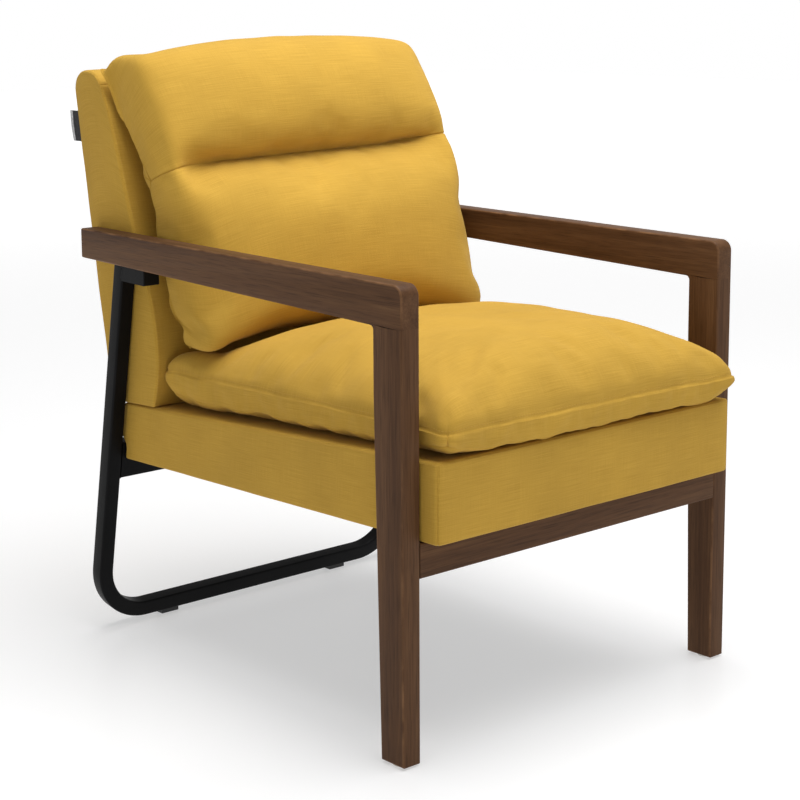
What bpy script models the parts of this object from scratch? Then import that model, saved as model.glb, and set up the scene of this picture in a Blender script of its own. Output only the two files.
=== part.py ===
"""Lounge armchair: timber arms and front legs, a bent steel rear loop, an upholstered seat box and back,
a loose seat cushion and a hinged two-lobe back pillow. Metres, +Z up, the sitter faces -Y.

Stations along the chair are measured rearward from the plane of the legs' front faces, and FRONT_Y puts
that plane in the model's frame, whose origin is on the floor under the middle of the chair's box.
"_l" is the -X side and "_r" the +X side.
"""
import math

import bmesh
import bpy
from mathutils import Matrix, Vector

# Overall
FRONT_Y = -0.3609
HALF_WIDTH = 0.305
GAP = 0.0003
HOLE_END = 0.001

# Timber arms, legs and rail
ARM_T = 0.029
ARM_LENGTH = 0.693
ARM_TOP_FRONT, ARM_TOP_REAR = 0.598, 0.6045
ARM_UNDER_FRONT, ARM_UNDER_REAR = 0.545, 0.562
NOSE_R = 0.015
LEG_DEPTH, LEG_FOOT_DEPTH = 0.052, 0.041
LEG_TAPER_START = 0.46
LEG_FILLET = 0.006
GLIDE_H = 0.003
GLIDE_R_FLOOR, GLIDE_R_LEG = 0.010, 0.012
RAIL_UNDER, RAIL_TOP, RAIL_T = 0.237, 0.2816, 0.022
WOOD_EDGE, RAIL_EDGE = 0.0025, 0.0012
DOWEL_R = 0.004
ARM_DOWEL_L, ARM_DOWEL_Y = 0.044, {"front": 0.014, "rear": 0.038}
RAIL_DOWEL_L, RAIL_DOWEL_SKIN, RAIL_DOWEL_PITCH = 0.042, 0.008, 0.020

# Steel loop, crossbar and arm tabs
TUBE = 0.023
TUBE_WALL = 0.002
TUBE_CORNER = 0.003
TUBE_X = 0.2889
BEND_R = 0.0785
LEAN = math.radians(10.0)
LOOP_FRONT_Y = 0.6913
LOOP_CLEARANCE = 0.0055
CROSSBAR_UNDER, CROSSBAR_H = 0.238, 0.055
TAB_W, TAB_H, TAB_FRONT, TAB_REAR = 0.026, 0.021, 0.539, 0.590
TAB_EDGE = 0.001
LOOP_GLIDE_X, LOOP_GLIDE_L, LOOP_GLIDE_INSET = 0.166, 0.030, 0.003

# Bolts: one shank and two head sizes
BOLT_R, BOLT_HEAD_R, ARM_BOLT_HEAD_R = 0.003, 0.006, 0.0055
FRONT_BOLT_X, REAR_BOLT_X, REAR_BOLT_UP = 0.235, 0.20, 0.279
ARM_BOLT_L, REAR_BOLT_L, FRONT_BOLT_L, BACK_BOLT_L = 0.034, 0.038, 0.058, 0.095

# Upholstered seat box
BOX_HALF = 0.2731
BOX_CORNER_R = 0.007
BOX_FRONT = -0.0277
BOX_TOP_FRONT = 0.3845
SEAT_TILT = math.radians(2.8)
BOX_UNDER_FRONT, BOX_UNDER_SLOPE = 0.2819, -0.0224
BOX_UNDER_BREAK = 0.0225
BOARD_T, BOARD_RISE = 0.020, 0.0015
BLOCK_L, BLOCK_H = 0.050, 0.038
CLOTH_T = 0.0015
SEAT_FOAM_T = 0.030
STRAP_T, STRAP_W = 0.002, 0.060
SEAT_STRAP_X = (-0.18, -0.06, 0.06, 0.18)

# Upholstered back
BACK_HALF = 0.2731
BACK_EDGE_R = 0.006
BACK_BOARD_T = 0.022
BACK_SKIN, BACK_RISE, BACK_SIDE = 0.0022, 0.0020, 0.006
BACK_STILE_W = 0.045
BACK_FOOT_FRONT, BACK_FOOT_REAR = 0.5655, 0.673
BACK_REAR_TOP = (0.7455, 0.798)
BACK_FRONT = ((0.5545, 0.400), (0.5540, 0.445), (0.5660, 0.510), (0.6054, 0.6128), (0.6545, 0.7542),
              (0.6800, 0.8080))
BACK_CROWN = ((0.6925, 0.8225), (0.7110, 0.8275), (0.7300, 0.8260), (0.7430, 0.8160))
BACK_PLANK_FRONT = 0.590
BACK_TOP_RAIL = (0.745, 0.790)
BACK_BOLT_X = 0.12
BACK_STRAP_Z = (0.47, 0.58, 0.69)
BACK_FOAM_TOP = 0.815
LABEL_Z, LABEL_H, LABEL_OUT, LABEL_T = 0.7246, 0.044, 0.018, 0.001

# Loose seat cushion and hinged pillow
CUSHION_HALF = 0.2634
CUSHION_FRONT, CUSHION_REAR = -0.037, 0.549
CUSHION_LIFT = 0.0008
CUSHION_SEAM_LOW, CUSHION_SEAM_TOP = 0.012, 0.052
CUSHION_CROWN = 0.072
ZIP_HALF, ZIP_H, ZIP_T = 0.20, 0.006, 0.0012
PILLOW_HALF = 0.262
PILLOW_HINGE = (0.6800, 0.8200)
# Stations down the pillow: height, rear and front at mid width, rear and front at the ends.
PILLOW_STATIONS = (
    (0.8640, 0.638, 0.600, 0.652, 0.625),
    (0.8500, 0.662, 0.572, 0.668, 0.603),
    (0.8150, 0.6760, 0.548, 0.6740, 0.582),
    (0.7700, 0.6565, 0.528, 0.6430, 0.556),
    (0.7150, 0.6360, 0.520, 0.6060, 0.528),
    (0.6700, 0.6200, 0.470, 0.5840, 0.503),
    (0.6100, 0.5995, 0.442, 0.5700, 0.476),
    (0.5600, 0.5800, 0.432, 0.5480, 0.461),
    (0.5150, 0.5600, 0.438, 0.5180, 0.456),
)
PILLOW_FOOT = ((0.508, 0.480, 0.540), (0.468, 0.470, 0.498))

WALNUT = ((0.085, 0.048, 0.028), 0.38, 0.0)
BIRCH = ((0.62, 0.47, 0.30), 0.6, 0.0)
BLACK_STEEL = ((0.012, 0.012, 0.013), 0.5, 0.6)
ZINC = ((0.55, 0.55, 0.56), 0.35, 1.0)
BLACK_PLASTIC = ((0.02, 0.02, 0.02), 0.5, 0.0)
PALE_PLASTIC = ((0.75, 0.74, 0.70), 0.5, 0.0)
MUSTARD = ((0.62, 0.36, 0.045), 0.9, 0.0)
FOAM = ((0.85, 0.80, 0.62), 0.95, 0.0)
WEBBING = ((0.05, 0.05, 0.05), 0.9, 0.0)
BLACK_CLOTH = ((0.02, 0.02, 0.02), 0.95, 0.0)
WHITE_CLOTH = ((0.8, 0.8, 0.8), 0.9, 0.0)


# ---------- helpers ----------

def clear_scene():
    for old in list(bpy.data.objects):
        bpy.data.objects.remove(old, do_unlink=True)


def material(name, look):
    """A Principled material named after its piece."""
    colour, roughness, metallic = look
    mat = bpy.data.materials.new(name)
    mat.use_nodes = True
    shader = mat.node_tree.nodes["Principled BSDF"]
    shader.inputs["Base Color"].default_value = (*colour, 1.0)
    shader.inputs["Roughness"].default_value = roughness
    shader.inputs["Metallic"].default_value = metallic
    mat.diffuse_color = (*colour, 1.0)
    return mat


def pivot(name, y, z):
    """An empty on a joint's axis: the parent of a moving body's pieces."""
    empty = bpy.data.objects.new(name, None)
    empty.location = (0.0, FRONT_Y + y, z)
    bpy.context.collection.objects.link(empty)
    return empty


def add(name, bm, look, parent=None, smooth=False, normals=True):
    """Links a bmesh made in stations as an object, its origin on the floor or on its parent's pivot."""
    if normals:
        bmesh.ops.recalc_face_normals(bm, faces=bm.faces)
    if parent is None:
        origin = Vector((0.0, FRONT_Y, 0.0))
        shift = Vector((0.0, 0.0, 0.0))
    else:
        origin = Vector((0.0, 0.0, 0.0))
        shift = Vector((0.0, FRONT_Y, 0.0)) - parent.location
    bmesh.ops.translate(bm, verts=bm.verts, vec=shift)
    mesh = bpy.data.meshes.new(name)
    bm.to_mesh(mesh)
    bm.free()
    if smooth:
        mesh.shade_smooth()
        mesh.set_sharp_from_angle(angle=math.radians(35))
    mesh.materials.append(material(name, look))
    obj = bpy.data.objects.new(name, mesh)
    obj.location = origin
    obj.parent = parent
    bpy.context.collection.objects.link(obj)
    return obj


def prism(outline, x_low, x_high):
    """A bmesh extruded along X from a closed (station, height) outline."""
    bm = bmesh.new()
    face = bm.faces.new([bm.verts.new((x_low, y, z)) for y, z in outline])
    out = bmesh.ops.extrude_face_region(bm, geom=[face])
    moved = [v for v in out["geom"] if isinstance(v, bmesh.types.BMVert)]
    bmesh.ops.translate(bm, verts=moved, vec=(x_high - x_low, 0.0, 0.0))
    return bm


def soften(bm, width, segments, keep):
    """Rounds the edges for which keep(edge) is true."""
    edges = [e for e in bm.edges if keep(e)]
    bmesh.ops.bevel(bm, geom=edges, offset=width, offset_type="OFFSET", segments=segments,
                    profile=0.5, affect="EDGES", clamp_overlap=True)


def arc(centre, radius, start, end, steps):
    """Points on an arc in the (station, height) plane, angles in degrees."""
    points = []
    for i in range(steps + 1):
        a = math.radians(start + (end - start) * i / steps)
        points.append((centre[0] + radius * math.cos(a), centre[1] + radius * math.sin(a)))
    return points


def turned(profile, start, direction, segments=16):
    """A solid of revolution: profile is (radius, distance along direction), from axis to axis."""
    bm = bmesh.new()
    rings = []
    for radius, along in profile:
        if radius == 0.0:
            rings.append([bm.verts.new((0.0, 0.0, along))])
            continue
        turn = 2.0 * math.pi / segments
        rings.append([bm.verts.new((radius * math.cos(turn * i), radius * math.sin(turn * i), along))
                      for i in range(segments)])
    for low, high in zip(rings, rings[1:]):
        for i in range(segments):
            j = (i + 1) % segments
            corners = [low[i % len(low)], low[j % len(low)], high[j % len(high)], high[i % len(high)]]
            bm.faces.new(list(dict.fromkeys(corners)))
    spin = Vector((0.0, 0.0, 1.0)).rotation_difference(Vector(direction).normalized())
    bmesh.ops.transform(bm, matrix=Matrix.Translation(Vector(start)) @ spin.to_matrix().to_4x4(),
                        verts=bm.verts)
    return bm


def cut(host, tool):
    """Subtracts a hidden tool from host."""
    mod = host.modifiers.new("cut_" + tool.name, "BOOLEAN")
    mod.operation = "DIFFERENCE"
    mod.solver = "EXACT"
    mod.object = tool


def hide(tool):
    tool.hide_render = True
    tool.display_type = "WIRE"


def bolt(name, start, direction, length, head_radius, head_height, hosts):
    """A cap-head bolt from its head's outer face, and its clearance hole in every host."""
    shank = head_height + length
    profile = ((0.0, 0.0), (head_radius, 0.0), (head_radius, head_height), (BOLT_R, head_height),
               (BOLT_R, shank), (0.0, shank))
    add(name, turned(profile, start, direction), ZINC, smooth=True)
    wide, bore = head_radius + GAP, BOLT_R + GAP
    hole = ((0.0, -3 * HOLE_END), (wide, -3 * HOLE_END), (wide, head_height + GAP), (bore, head_height + GAP),
            (bore, shank + HOLE_END), (0.0, shank + HOLE_END))
    tool = add("cutter_" + name, turned(hole, start, direction), ZINC)
    hide(tool)
    for host in hosts:
        cut(host, tool)


def peg(name, start, direction, length, hosts):
    """A beech dowel and its blind hole, split between two hosts."""
    profile = ((0.0, 0.0), (DOWEL_R, 0.0), (DOWEL_R, length), (0.0, length))
    add(name, turned(profile, start, direction, segments=12), BIRCH, smooth=True)
    bore = DOWEL_R + GAP
    hole = ((0.0, -HOLE_END), (bore, -HOLE_END), (bore, length + HOLE_END), (0.0, length + HOLE_END))
    tool = add("cutter_" + name, turned(hole, start, direction, segments=12), BIRCH)
    hide(tool)
    for host in hosts:
        cut(host, tool)


def sides():
    return (("_l", -1.0), ("_r", 1.0))


def span(side, inner, outer):
    """The X range from inner to outer on one side, lowest first."""
    return tuple(sorted((side * inner, side * outer)))


# ---------- shared surfaces ----------

def arm_under(y):
    slope = (ARM_UNDER_REAR - ARM_UNDER_FRONT) / (ARM_LENGTH - LEG_DEPTH)
    return ARM_UNDER_FRONT + slope * max(y - LEG_DEPTH, 0.0)


def loop_front(z):
    """Station of the leaning loop's front face at a height."""
    return LOOP_FRONT_Y - math.tan(LEAN) * z


def box_top(y, drop=0.0):
    return BOX_TOP_FRONT - math.tan(SEAT_TILT) * (y - BOX_FRONT) - drop


def box_under(y, rise=0.0):
    return BOX_UNDER_FRONT + BOX_UNDER_SLOPE * max(y - BOX_UNDER_BREAK, 0.0) + rise


def box_rear(height, offset, inward):
    """Where the box's rear face, which leans with the loop, meets box_top or box_under."""
    y = loop_front(BOX_UNDER_FRONT)
    for _ in range(8):
        y = loop_front(height(y, offset)) - 2 * GAP - inward
    return (y, height(y, offset))


def box_outline(inward, rise, drop):
    """The seat box's side outline, anticlockwise, moved inward at the front and rear."""
    front = BOX_FRONT + inward
    return [(front, box_under(front, rise)), (BOX_UNDER_BREAK, box_under(BOX_UNDER_BREAK, rise)),
            box_rear(box_under, rise, inward), box_rear(box_top, drop, inward), (front, box_top(front, drop))]


def back_foot(y):
    """Underside of the back, where it stands on the seat box."""
    return box_top(y) + 2 * GAP


def back_rear(z):
    """Station of the back's flat rear face at a height."""
    (y0, z0), (y1, z1) = (BACK_FOOT_REAR, back_foot(BACK_FOOT_REAR)), BACK_REAR_TOP
    return y0 + (y1 - y0) * (z - z0) / (z1 - z0)


def back_outline():
    """The back's side outline, anticlockwise from its rear foot."""
    return [(BACK_FOOT_REAR, back_foot(BACK_FOOT_REAR)), BACK_REAR_TOP, *reversed(BACK_CROWN),
            *reversed(BACK_FRONT), (BACK_FOOT_FRONT, back_foot(BACK_FOOT_FRONT))]


def inset(outline, distance):
    """A convex outline moved inward, its points in anticlockwise order."""
    count = len(outline)
    moved = []
    for i, here in enumerate(outline):
        before, after = Vector(outline[i - 1]), Vector(outline[(i + 1) % count])
        here = Vector(here)
        d0, d1 = (here - before).normalized(), (after - here).normalized()
        n0, n1 = Vector((-d0.y, d0.x)), Vector((-d1.y, d1.x))
        mitre = (n0 + n1).normalized()
        moved.append(tuple(here + mitre * (distance / max(mitre.dot(n0), 0.3))))
    return moved


def dome(x, y):
    """Height of the seat cushion's crowned top."""
    u = min(abs(x) / CUSHION_HALF, 1.0)
    middle = 0.5 * (CUSHION_FRONT + CUSHION_REAR)
    v = min(abs(y - middle) / (0.5 * (CUSHION_REAR - CUSHION_FRONT)), 1.0)
    swell = ((1.0 - u ** 2.6) * (1.0 - v ** 2.6)) ** 0.75
    return box_top(y) + CUSHION_SEAM_TOP + CUSHION_CROWN * swell


# ---------- timber ----------

def on_plane(edge, axis, value):
    return all(abs(v.co[axis] - value) < 1e-6 for v in edge.verts)


def armrests():
    """One board per side: level below, deeper at the front, with a rounded nose over the leg."""
    top_slope = math.degrees(math.atan2(ARM_TOP_REAR - ARM_TOP_FRONT, ARM_LENGTH))
    nose = arc((NOSE_R, ARM_TOP_FRONT - NOSE_R), NOSE_R, 180.0, 90.0 + top_slope, 6)
    outline = [(0.0, ARM_UNDER_FRONT), (LEG_DEPTH + LEG_FILLET, ARM_UNDER_FRONT),
               (ARM_LENGTH, ARM_UNDER_REAR), (ARM_LENGTH, ARM_TOP_REAR), *reversed(nose)]
    made = {}
    for tail, side in sides():
        bm = prism(outline, *span(side, HALF_WIDTH - ARM_T, HALF_WIDTH))
        soften(bm, WOOD_EDGE, 3, lambda e: not (
            on_plane(e, 2, ARM_UNDER_FRONT) or e.verts[0].co.yz == e.verts[1].co.yz
            and e.verts[0].co.y < LEG_DEPTH))
        made[tail] = add("armrest" + tail, bm, WALNUT, smooth=True)
    return made


def front_legs():
    """Square-edged legs whose rear face tapers to the foot and fillets into the arm's underside."""
    top = ARM_UNDER_FRONT - GAP
    foot = GLIDE_H + GAP
    fillet = arc((LEG_DEPTH + LEG_FILLET, top - LEG_FILLET), LEG_FILLET, 180.0, 90.0, 4)
    outline = [(0.0, foot), (LEG_FOOT_DEPTH, foot), (LEG_DEPTH, LEG_TAPER_START), *fillet[:-1],
               (LEG_DEPTH + LEG_FILLET - 0.0008, top), (0.0, top)]
    made = {}
    for tail, side in sides():
        bm = prism(outline, *span(side, HALF_WIDTH - ARM_T, HALF_WIDTH))
        soften(bm, WOOD_EDGE, 3, lambda e: not (
            on_plane(e, 2, top) or e.verts[0].co.yz == e.verts[1].co.yz))
        made[tail] = add("front_leg" + tail, bm, WALNUT, smooth=True)
    return made


def front_rail():
    reach = HALF_WIDTH - ARM_T - GAP
    outline = [(0.0, RAIL_UNDER), (RAIL_T, RAIL_UNDER), (RAIL_T, RAIL_TOP), (0.0, RAIL_TOP)]
    bm = prism(outline, -reach, reach)
    soften(bm, RAIL_EDGE, 1, lambda e: not (on_plane(e, 0, reach) or on_plane(e, 0, -reach)))
    return add("front_rail", bm, WALNUT)


def timber_dowels(arms, legs, rail):
    for tail, side in sides():
        x = side * (HALF_WIDTH - 0.5 * ARM_T)
        for place, y in ARM_DOWEL_Y.items():
            start = (x, y, ARM_UNDER_FRONT - 0.5 * ARM_DOWEL_L)
            peg(f"arm_dowel_{place}{tail}", start, (0, 0, 1), ARM_DOWEL_L, (arms[tail], legs[tail]))
        for place, step in (("low", -0.5), ("top", 0.5)):
            z = 0.5 * (RAIL_UNDER + RAIL_TOP) + step * RAIL_DOWEL_PITCH
            start = (side * (HALF_WIDTH - RAIL_DOWEL_SKIN), 0.5 * RAIL_T, z)
            peg(f"rail_dowel_{place}{tail}", start, (-side, 0, 0), RAIL_DOWEL_L, (legs[tail], rail))


def leg_glides():
    for tail, side in sides():
        centre = (side * (HALF_WIDTH - 0.5 * ARM_T), 0.5 * LEG_FOOT_DEPTH, 0.0)
        profile = ((0.0, 0.0), (GLIDE_R_FLOOR, 0.0), (GLIDE_R_LEG, GLIDE_H), (0.0, GLIDE_H))
        add("leg_glide" + tail, turned(profile, centre, (0, 0, 1), 20), PALE_PLASTIC, smooth=True)


# ---------- steel ----------

def tube_section(width, height, corner, steps):
    """A rounded rectangle about the origin, anticlockwise."""
    points = []
    for quarter, (sx, sy) in enumerate(((1, 1), (-1, 1), (-1, -1), (1, -1))):
        cx, cy = sx * (0.5 * width - corner), sy * (0.5 * height - corner)
        for i in range(steps + 1):
            a = math.pi / 2 * (quarter + i / steps)
            points.append((cx + corner * math.cos(a), cy + corner * math.sin(a)))
    return points


def hollow_bar(outer_rings, inner_rings):
    """An open-ended tube from matching outer and inner rings at each station along it."""
    bm = bmesh.new()
    shells = []
    for rings in (outer_rings, inner_rings):
        shells.append([[bm.verts.new(p) for p in ring] for ring in rings])
    for rings in shells:
        for low, high in zip(rings, rings[1:]):
            for i in range(len(low)):
                j = (i + 1) % len(low)
                bm.faces.new((low[i], low[j], high[j], high[i]))
    for end in (0, -1):
        outer, inner = shells[0][end], shells[1][end]
        for i in range(len(outer)):
            j = (i + 1) % len(outer)
            bm.faces.new((outer[i], outer[j], inner[j], inner[i]))
    return bm


def loop_stations():
    """Centre-line points of the U in its own plane, (across, up), with the outward direction at each."""
    low = 0.5 * TUBE
    stations = []
    side_x = TUBE_X - BEND_R
    for i in range(9):
        a = math.radians(180.0 + 90.0 * i / 8)
        stations.append(((-side_x + BEND_R * math.cos(a), low + BEND_R + BEND_R * math.sin(a)), a))
    stations += [((-x, v), math.pi - a) for (x, v), a in reversed(stations)]
    return stations


def in_loop(x, up, rear):
    """A point of the leaning plane: across, up the plane from its lower edge, and behind its front face."""
    c, s = math.cos(LEAN), math.sin(LEAN)
    y = loop_front(LOOP_CLEARANCE) - up * s + rear * c
    return (x, y, LOOP_CLEARANCE + up * c + rear * s)


def to_arm(x, rear):
    """Where a line up the loop's plane meets the arm's underside."""
    low, high = 0.3, 0.9
    for _ in range(40):
        up = 0.5 * (low + high)
        _, y, z = in_loop(x, up, rear)
        if z < arm_under(y) - GAP:
            low = up
        else:
            high = up
    return in_loop(x, low, rear)


def rear_loop():
    """Square tube bent to a U that leans back, its ends cut to the arms' undersides."""
    shells = []
    for width, corner in ((TUBE, TUBE_CORNER), (TUBE - 2 * TUBE_WALL, 0.001)):
        section = tube_section(width, width, corner, 2)
        rings = [[to_arm(-TUBE_X - out, depth + 0.5 * TUBE) for out, depth in section]]
        for (x, up), a in loop_stations():
            rings.append([in_loop(x + out * math.cos(a), up + out * math.sin(a), depth + 0.5 * TUBE)
                          for out, depth in section])
        rings.append([to_arm(TUBE_X + out, depth + 0.5 * TUBE) for out, depth in section])
        shells.append(rings)
    return add("rear_loop", hollow_bar(*shells), BLACK_STEEL, smooth=True)


def crossbar():
    """Rectangular tube welded between the uprights, its front face in line with theirs."""
    low_up = (CROSSBAR_UNDER - LOOP_CLEARANCE) / math.cos(LEAN)
    reach = TUBE_X - 0.5 * TUBE - GAP
    shells = []
    for trim, corner in ((0.0, TUBE_CORNER), (2 * TUBE_WALL, 0.001)):
        section = tube_section(CROSSBAR_H - trim, TUBE - trim, corner, 2)
        shells.append([[in_loop(x, low_up + 0.5 * CROSSBAR_H + up, 0.5 * TUBE + depth)
                        for up, depth in section] for x in (-reach, reach)])
    return add("crossbar", hollow_bar(*shells), BLACK_STEEL, smooth=True)


def arm_tabs():
    """Steel blocks welded to the uprights' fronts, flat against the arms' undersides."""
    made = {}
    for tail, side in sides():
        rear_low = loop_front(arm_under(TAB_REAR) - TAB_H) - GAP / math.cos(LEAN)
        rear_top = loop_front(arm_under(TAB_REAR)) - GAP / math.cos(LEAN)
        outline = [(TAB_FRONT, arm_under(TAB_FRONT) - GAP - TAB_H),
                   (rear_low, arm_under(rear_low) - GAP - TAB_H),
                   (rear_top - 0.0002, arm_under(rear_top) - GAP), (TAB_FRONT, arm_under(TAB_FRONT) - GAP)]
        x_low, x_high = sorted((side * TUBE_X - 0.5 * TAB_W, side * TUBE_X + 0.5 * TAB_W))
        bm = prism(outline, x_low, x_high)
        soften(bm, TAB_EDGE, 1, lambda e: on_plane(e, 1, TAB_FRONT))
        made[tail] = add("arm_tab" + tail, bm, BLACK_STEEL)
    return made


def loop_glides():
    """Wedge pads that level the leaning tube's underside to the floor."""
    for tail, side in sides():
        front = in_loop(0.0, 0.0, LOOP_GLIDE_INSET)
        rear = in_loop(0.0, 0.0, TUBE - LOOP_GLIDE_INSET)
        outline = [(front[1], 0.0), (rear[1], 0.0), (rear[1], rear[2] - GAP), (front[1], front[2] - GAP)]
        x = side * LOOP_GLIDE_X
        bm = prism(outline, x - 0.5 * LOOP_GLIDE_L, x + 0.5 * LOOP_GLIDE_L)
        add("loop_glide" + tail, bm, BLACK_PLASTIC)


# ---------- seat box ----------

def upright_edge(edge):
    """True for a box's tall corner edges."""
    low, high = sorted(v.co.z for v in edge.verts)
    return high - low > 0.015 and abs(edge.verts[0].co.x - edge.verts[1].co.x) < 1e-6


def shelled(name, solid, inner, look):
    """A thin cover: a solid with an open-bottomed inner solid cut from it."""
    cover = add(name, solid, look, smooth=True)
    tool = add("cutter_" + name, inner, look)
    hide(tool)
    cut(cover, tool)
    return cover


def seat_cover():
    """Fabric pulled over the seat box, open underneath."""
    solid = prism(box_outline(0.0, 0.0, 0.0), -BOX_HALF, BOX_HALF)
    soften(solid, BOX_CORNER_R, 2, upright_edge)
    inner = prism(box_outline(CLOTH_T, -0.02, CLOTH_T), CLOTH_T - BOX_HALF, BOX_HALF - CLOTH_T)
    soften(inner, BOX_CORNER_R - CLOTH_T, 2, upright_edge)
    return shelled("seat_cover", solid, inner, MUSTARD)


def seat_boards():
    """Four timber boards; their top edges follow the seat's slope, under the straps and foam."""
    skin = CLOTH_T + GAP
    drop = CLOTH_T + SEAT_FOAM_T + STRAP_T + 3 * GAP
    rise = BOARD_RISE
    front, half = BOX_FRONT + skin, BOX_HALF - skin
    inner = front + BOARD_T
    boards = {}

    def long_board(name, outline):
        bm = prism(outline, -half, half)
        soften(bm, BOX_CORNER_R - skin, 2, lambda e: upright_edge(e) and (
            max(v.co.y for v in e.verts) < front + 0.001 or min(v.co.y for v in e.verts) > rear_face))
        return add(name, bm, BIRCH)

    rear_face = box_rear(box_top, drop, skin)[0] - 0.001
    boards["front"] = long_board("seat_board_front", [
        (front, box_under(front, rise)), (inner, box_under(inner, rise)),
        (inner, box_top(inner, drop)), (front, box_top(front, drop))])
    boards["rear"] = long_board("seat_board_rear", [
        box_rear(box_under, rise, skin + BOARD_T), box_rear(box_under, rise, skin),
        box_rear(box_top, drop, skin), box_rear(box_top, drop, skin + BOARD_T)])
    start = inner + GAP
    outline = [(start, box_under(start, rise)), (BOX_UNDER_BREAK, box_under(BOX_UNDER_BREAK, rise)),
               box_rear(box_under, rise, skin + BOARD_T + GAP),
               box_rear(box_top, drop, skin + BOARD_T + GAP), (start, box_top(start, drop))]
    block_low = BOX_UNDER_FRONT + rise
    for tail, side in sides():
        boards[tail] = add("seat_board" + tail, prism(outline, *span(side, half - BOARD_T, half)), BIRCH)
        corner = side * (half - BOARD_T - GAP)
        plan = [(corner, start), (corner - side * BLOCK_L, start), (corner, start + BLOCK_L)]
        bm = bmesh.new()
        face = bm.faces.new([bm.verts.new((x, y, block_low)) for x, y in plan])
        out = bmesh.ops.extrude_face_region(bm, geom=[face])
        moved = [v for v in out["geom"] if isinstance(v, bmesh.types.BMVert)]
        bmesh.ops.translate(bm, verts=moved, vec=(0.0, 0.0, BLOCK_H))
        boards["block" + tail] = add("seat_corner_block" + tail, bm, BIRCH)
    return boards


def seat_straps():
    """Elastic straps from the front board's top edge to the rear board's."""
    low = CLOTH_T + SEAT_FOAM_T + STRAP_T + 2 * GAP
    high = low - STRAP_T
    front = BOX_FRONT + CLOTH_T + 0.004
    rear = box_rear(box_top, low, CLOTH_T)[0] - 0.006
    outline = [(front, box_top(front, low)), (rear, box_top(rear, low)),
               (rear, box_top(rear, high)), (front, box_top(front, high))]
    for number, x in enumerate(SEAT_STRAP_X, 1):
        add(f"seat_strap_{number}", prism(outline, x - 0.5 * STRAP_W, x + 0.5 * STRAP_W), WEBBING)


def seat_foam():
    skin = CLOTH_T + GAP
    low = skin + SEAT_FOAM_T
    front = BOX_FRONT + skin
    outline = [(front, box_top(front, low)), box_rear(box_top, low, skin),
               box_rear(box_top, skin, skin), (front, box_top(front, skin))]
    half = BOX_HALF - skin
    bm = prism(outline, -half, half)
    soften(bm, BOX_CORNER_R - skin, 2, upright_edge)
    return add("seat_foam", bm, FOAM)


def seat_dust_cloth():
    """Black cloth stapled under the frame, inside the cover's lower edge."""
    inward = BOX_CORNER_R
    low, high = GAP, 4 * GAP
    front = BOX_FRONT + inward
    outline = [(front, box_under(front, low)), (BOX_UNDER_BREAK, box_under(BOX_UNDER_BREAK, low)),
               box_rear(box_under, low, inward), box_rear(box_under, high, inward),
               (BOX_UNDER_BREAK, box_under(BOX_UNDER_BREAK, high)), (front, box_under(front, high))]
    half = BOX_HALF - inward
    return add("seat_dust_cloth", prism(outline, -half, half), BLACK_CLOTH)


# ---------- back ----------

def back_cover():
    """Fabric pulled over the leaning back, open at its foot."""
    def side_edge(half):
        """True for a side face's edges above the foot."""
        return lambda e: (on_plane(e, 0, half) or on_plane(e, 0, -half)) and max(
            v.co.z for v in e.verts) > BOX_TOP_FRONT - 0.014

    solid = prism(back_outline(), -BACK_HALF, BACK_HALF)
    soften(solid, BACK_EDGE_R, 2, side_edge(BACK_HALF))
    line = inset(back_outline(), CLOTH_T)
    line[0] = (line[0][0] - 0.003, line[0][1] - 0.02)
    line[-1] = (line[-1][0] + 0.003, line[-1][1] - 0.02)
    inner = prism(line, CLOTH_T - BACK_HALF, BACK_HALF - CLOTH_T)
    soften(inner, BACK_EDGE_R - CLOTH_T, 2, side_edge(BACK_HALF - CLOTH_T))
    return shelled("back_cover", solid, inner, MUSTARD)


def back_frame():
    """Two stiles against the rear face, a top rail between them and a plank lying on the foot."""
    half = BACK_HALF - BACK_SIDE
    rear = -BACK_SKIN
    front = rear - BACK_BOARD_T

    def leaning(z_low, z_high, y_front, y_rear):
        return [(back_rear(z_low) + y_front, z_low), (back_rear(z_low) + y_rear, z_low),
                (back_rear(z_high) + y_rear, z_high), (back_rear(z_high) + y_front, z_high)]

    low = back_foot(BACK_FOOT_REAR + front) + BACK_RISE
    outline = leaning(low, BACK_TOP_RAIL[1], front, rear)
    for tail, side in sides():
        add("back_stile" + tail, prism(outline, *span(side, half - BACK_STILE_W, half)), BIRCH)
    reach = half - BACK_STILE_W - GAP
    add("back_rail_top", prism(leaning(*BACK_TOP_RAIL, front, rear), -reach, reach), BIRCH)
    y0, y1 = BACK_PLANK_FRONT, back_rear(low) + front - 2 * GAP
    plank = [(y0, back_foot(y0) + BACK_RISE), (y1, back_foot(y1) + BACK_RISE),
             (y1, back_foot(y1) + BACK_RISE + BOARD_T), (y0, back_foot(y0) + BACK_RISE + BOARD_T)]
    plank = add("back_plank_bottom", prism(plank, -half, half), BIRCH)
    strap_rear = front - GAP
    for number, z in enumerate(BACK_STRAP_Z, 1):
        line = leaning(z - 0.5 * STRAP_W, z + 0.5 * STRAP_W, strap_rear - STRAP_T, strap_rear)
        add(f"back_strap_{number}", prism(line, -half, half), WEBBING)
    return plank


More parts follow.
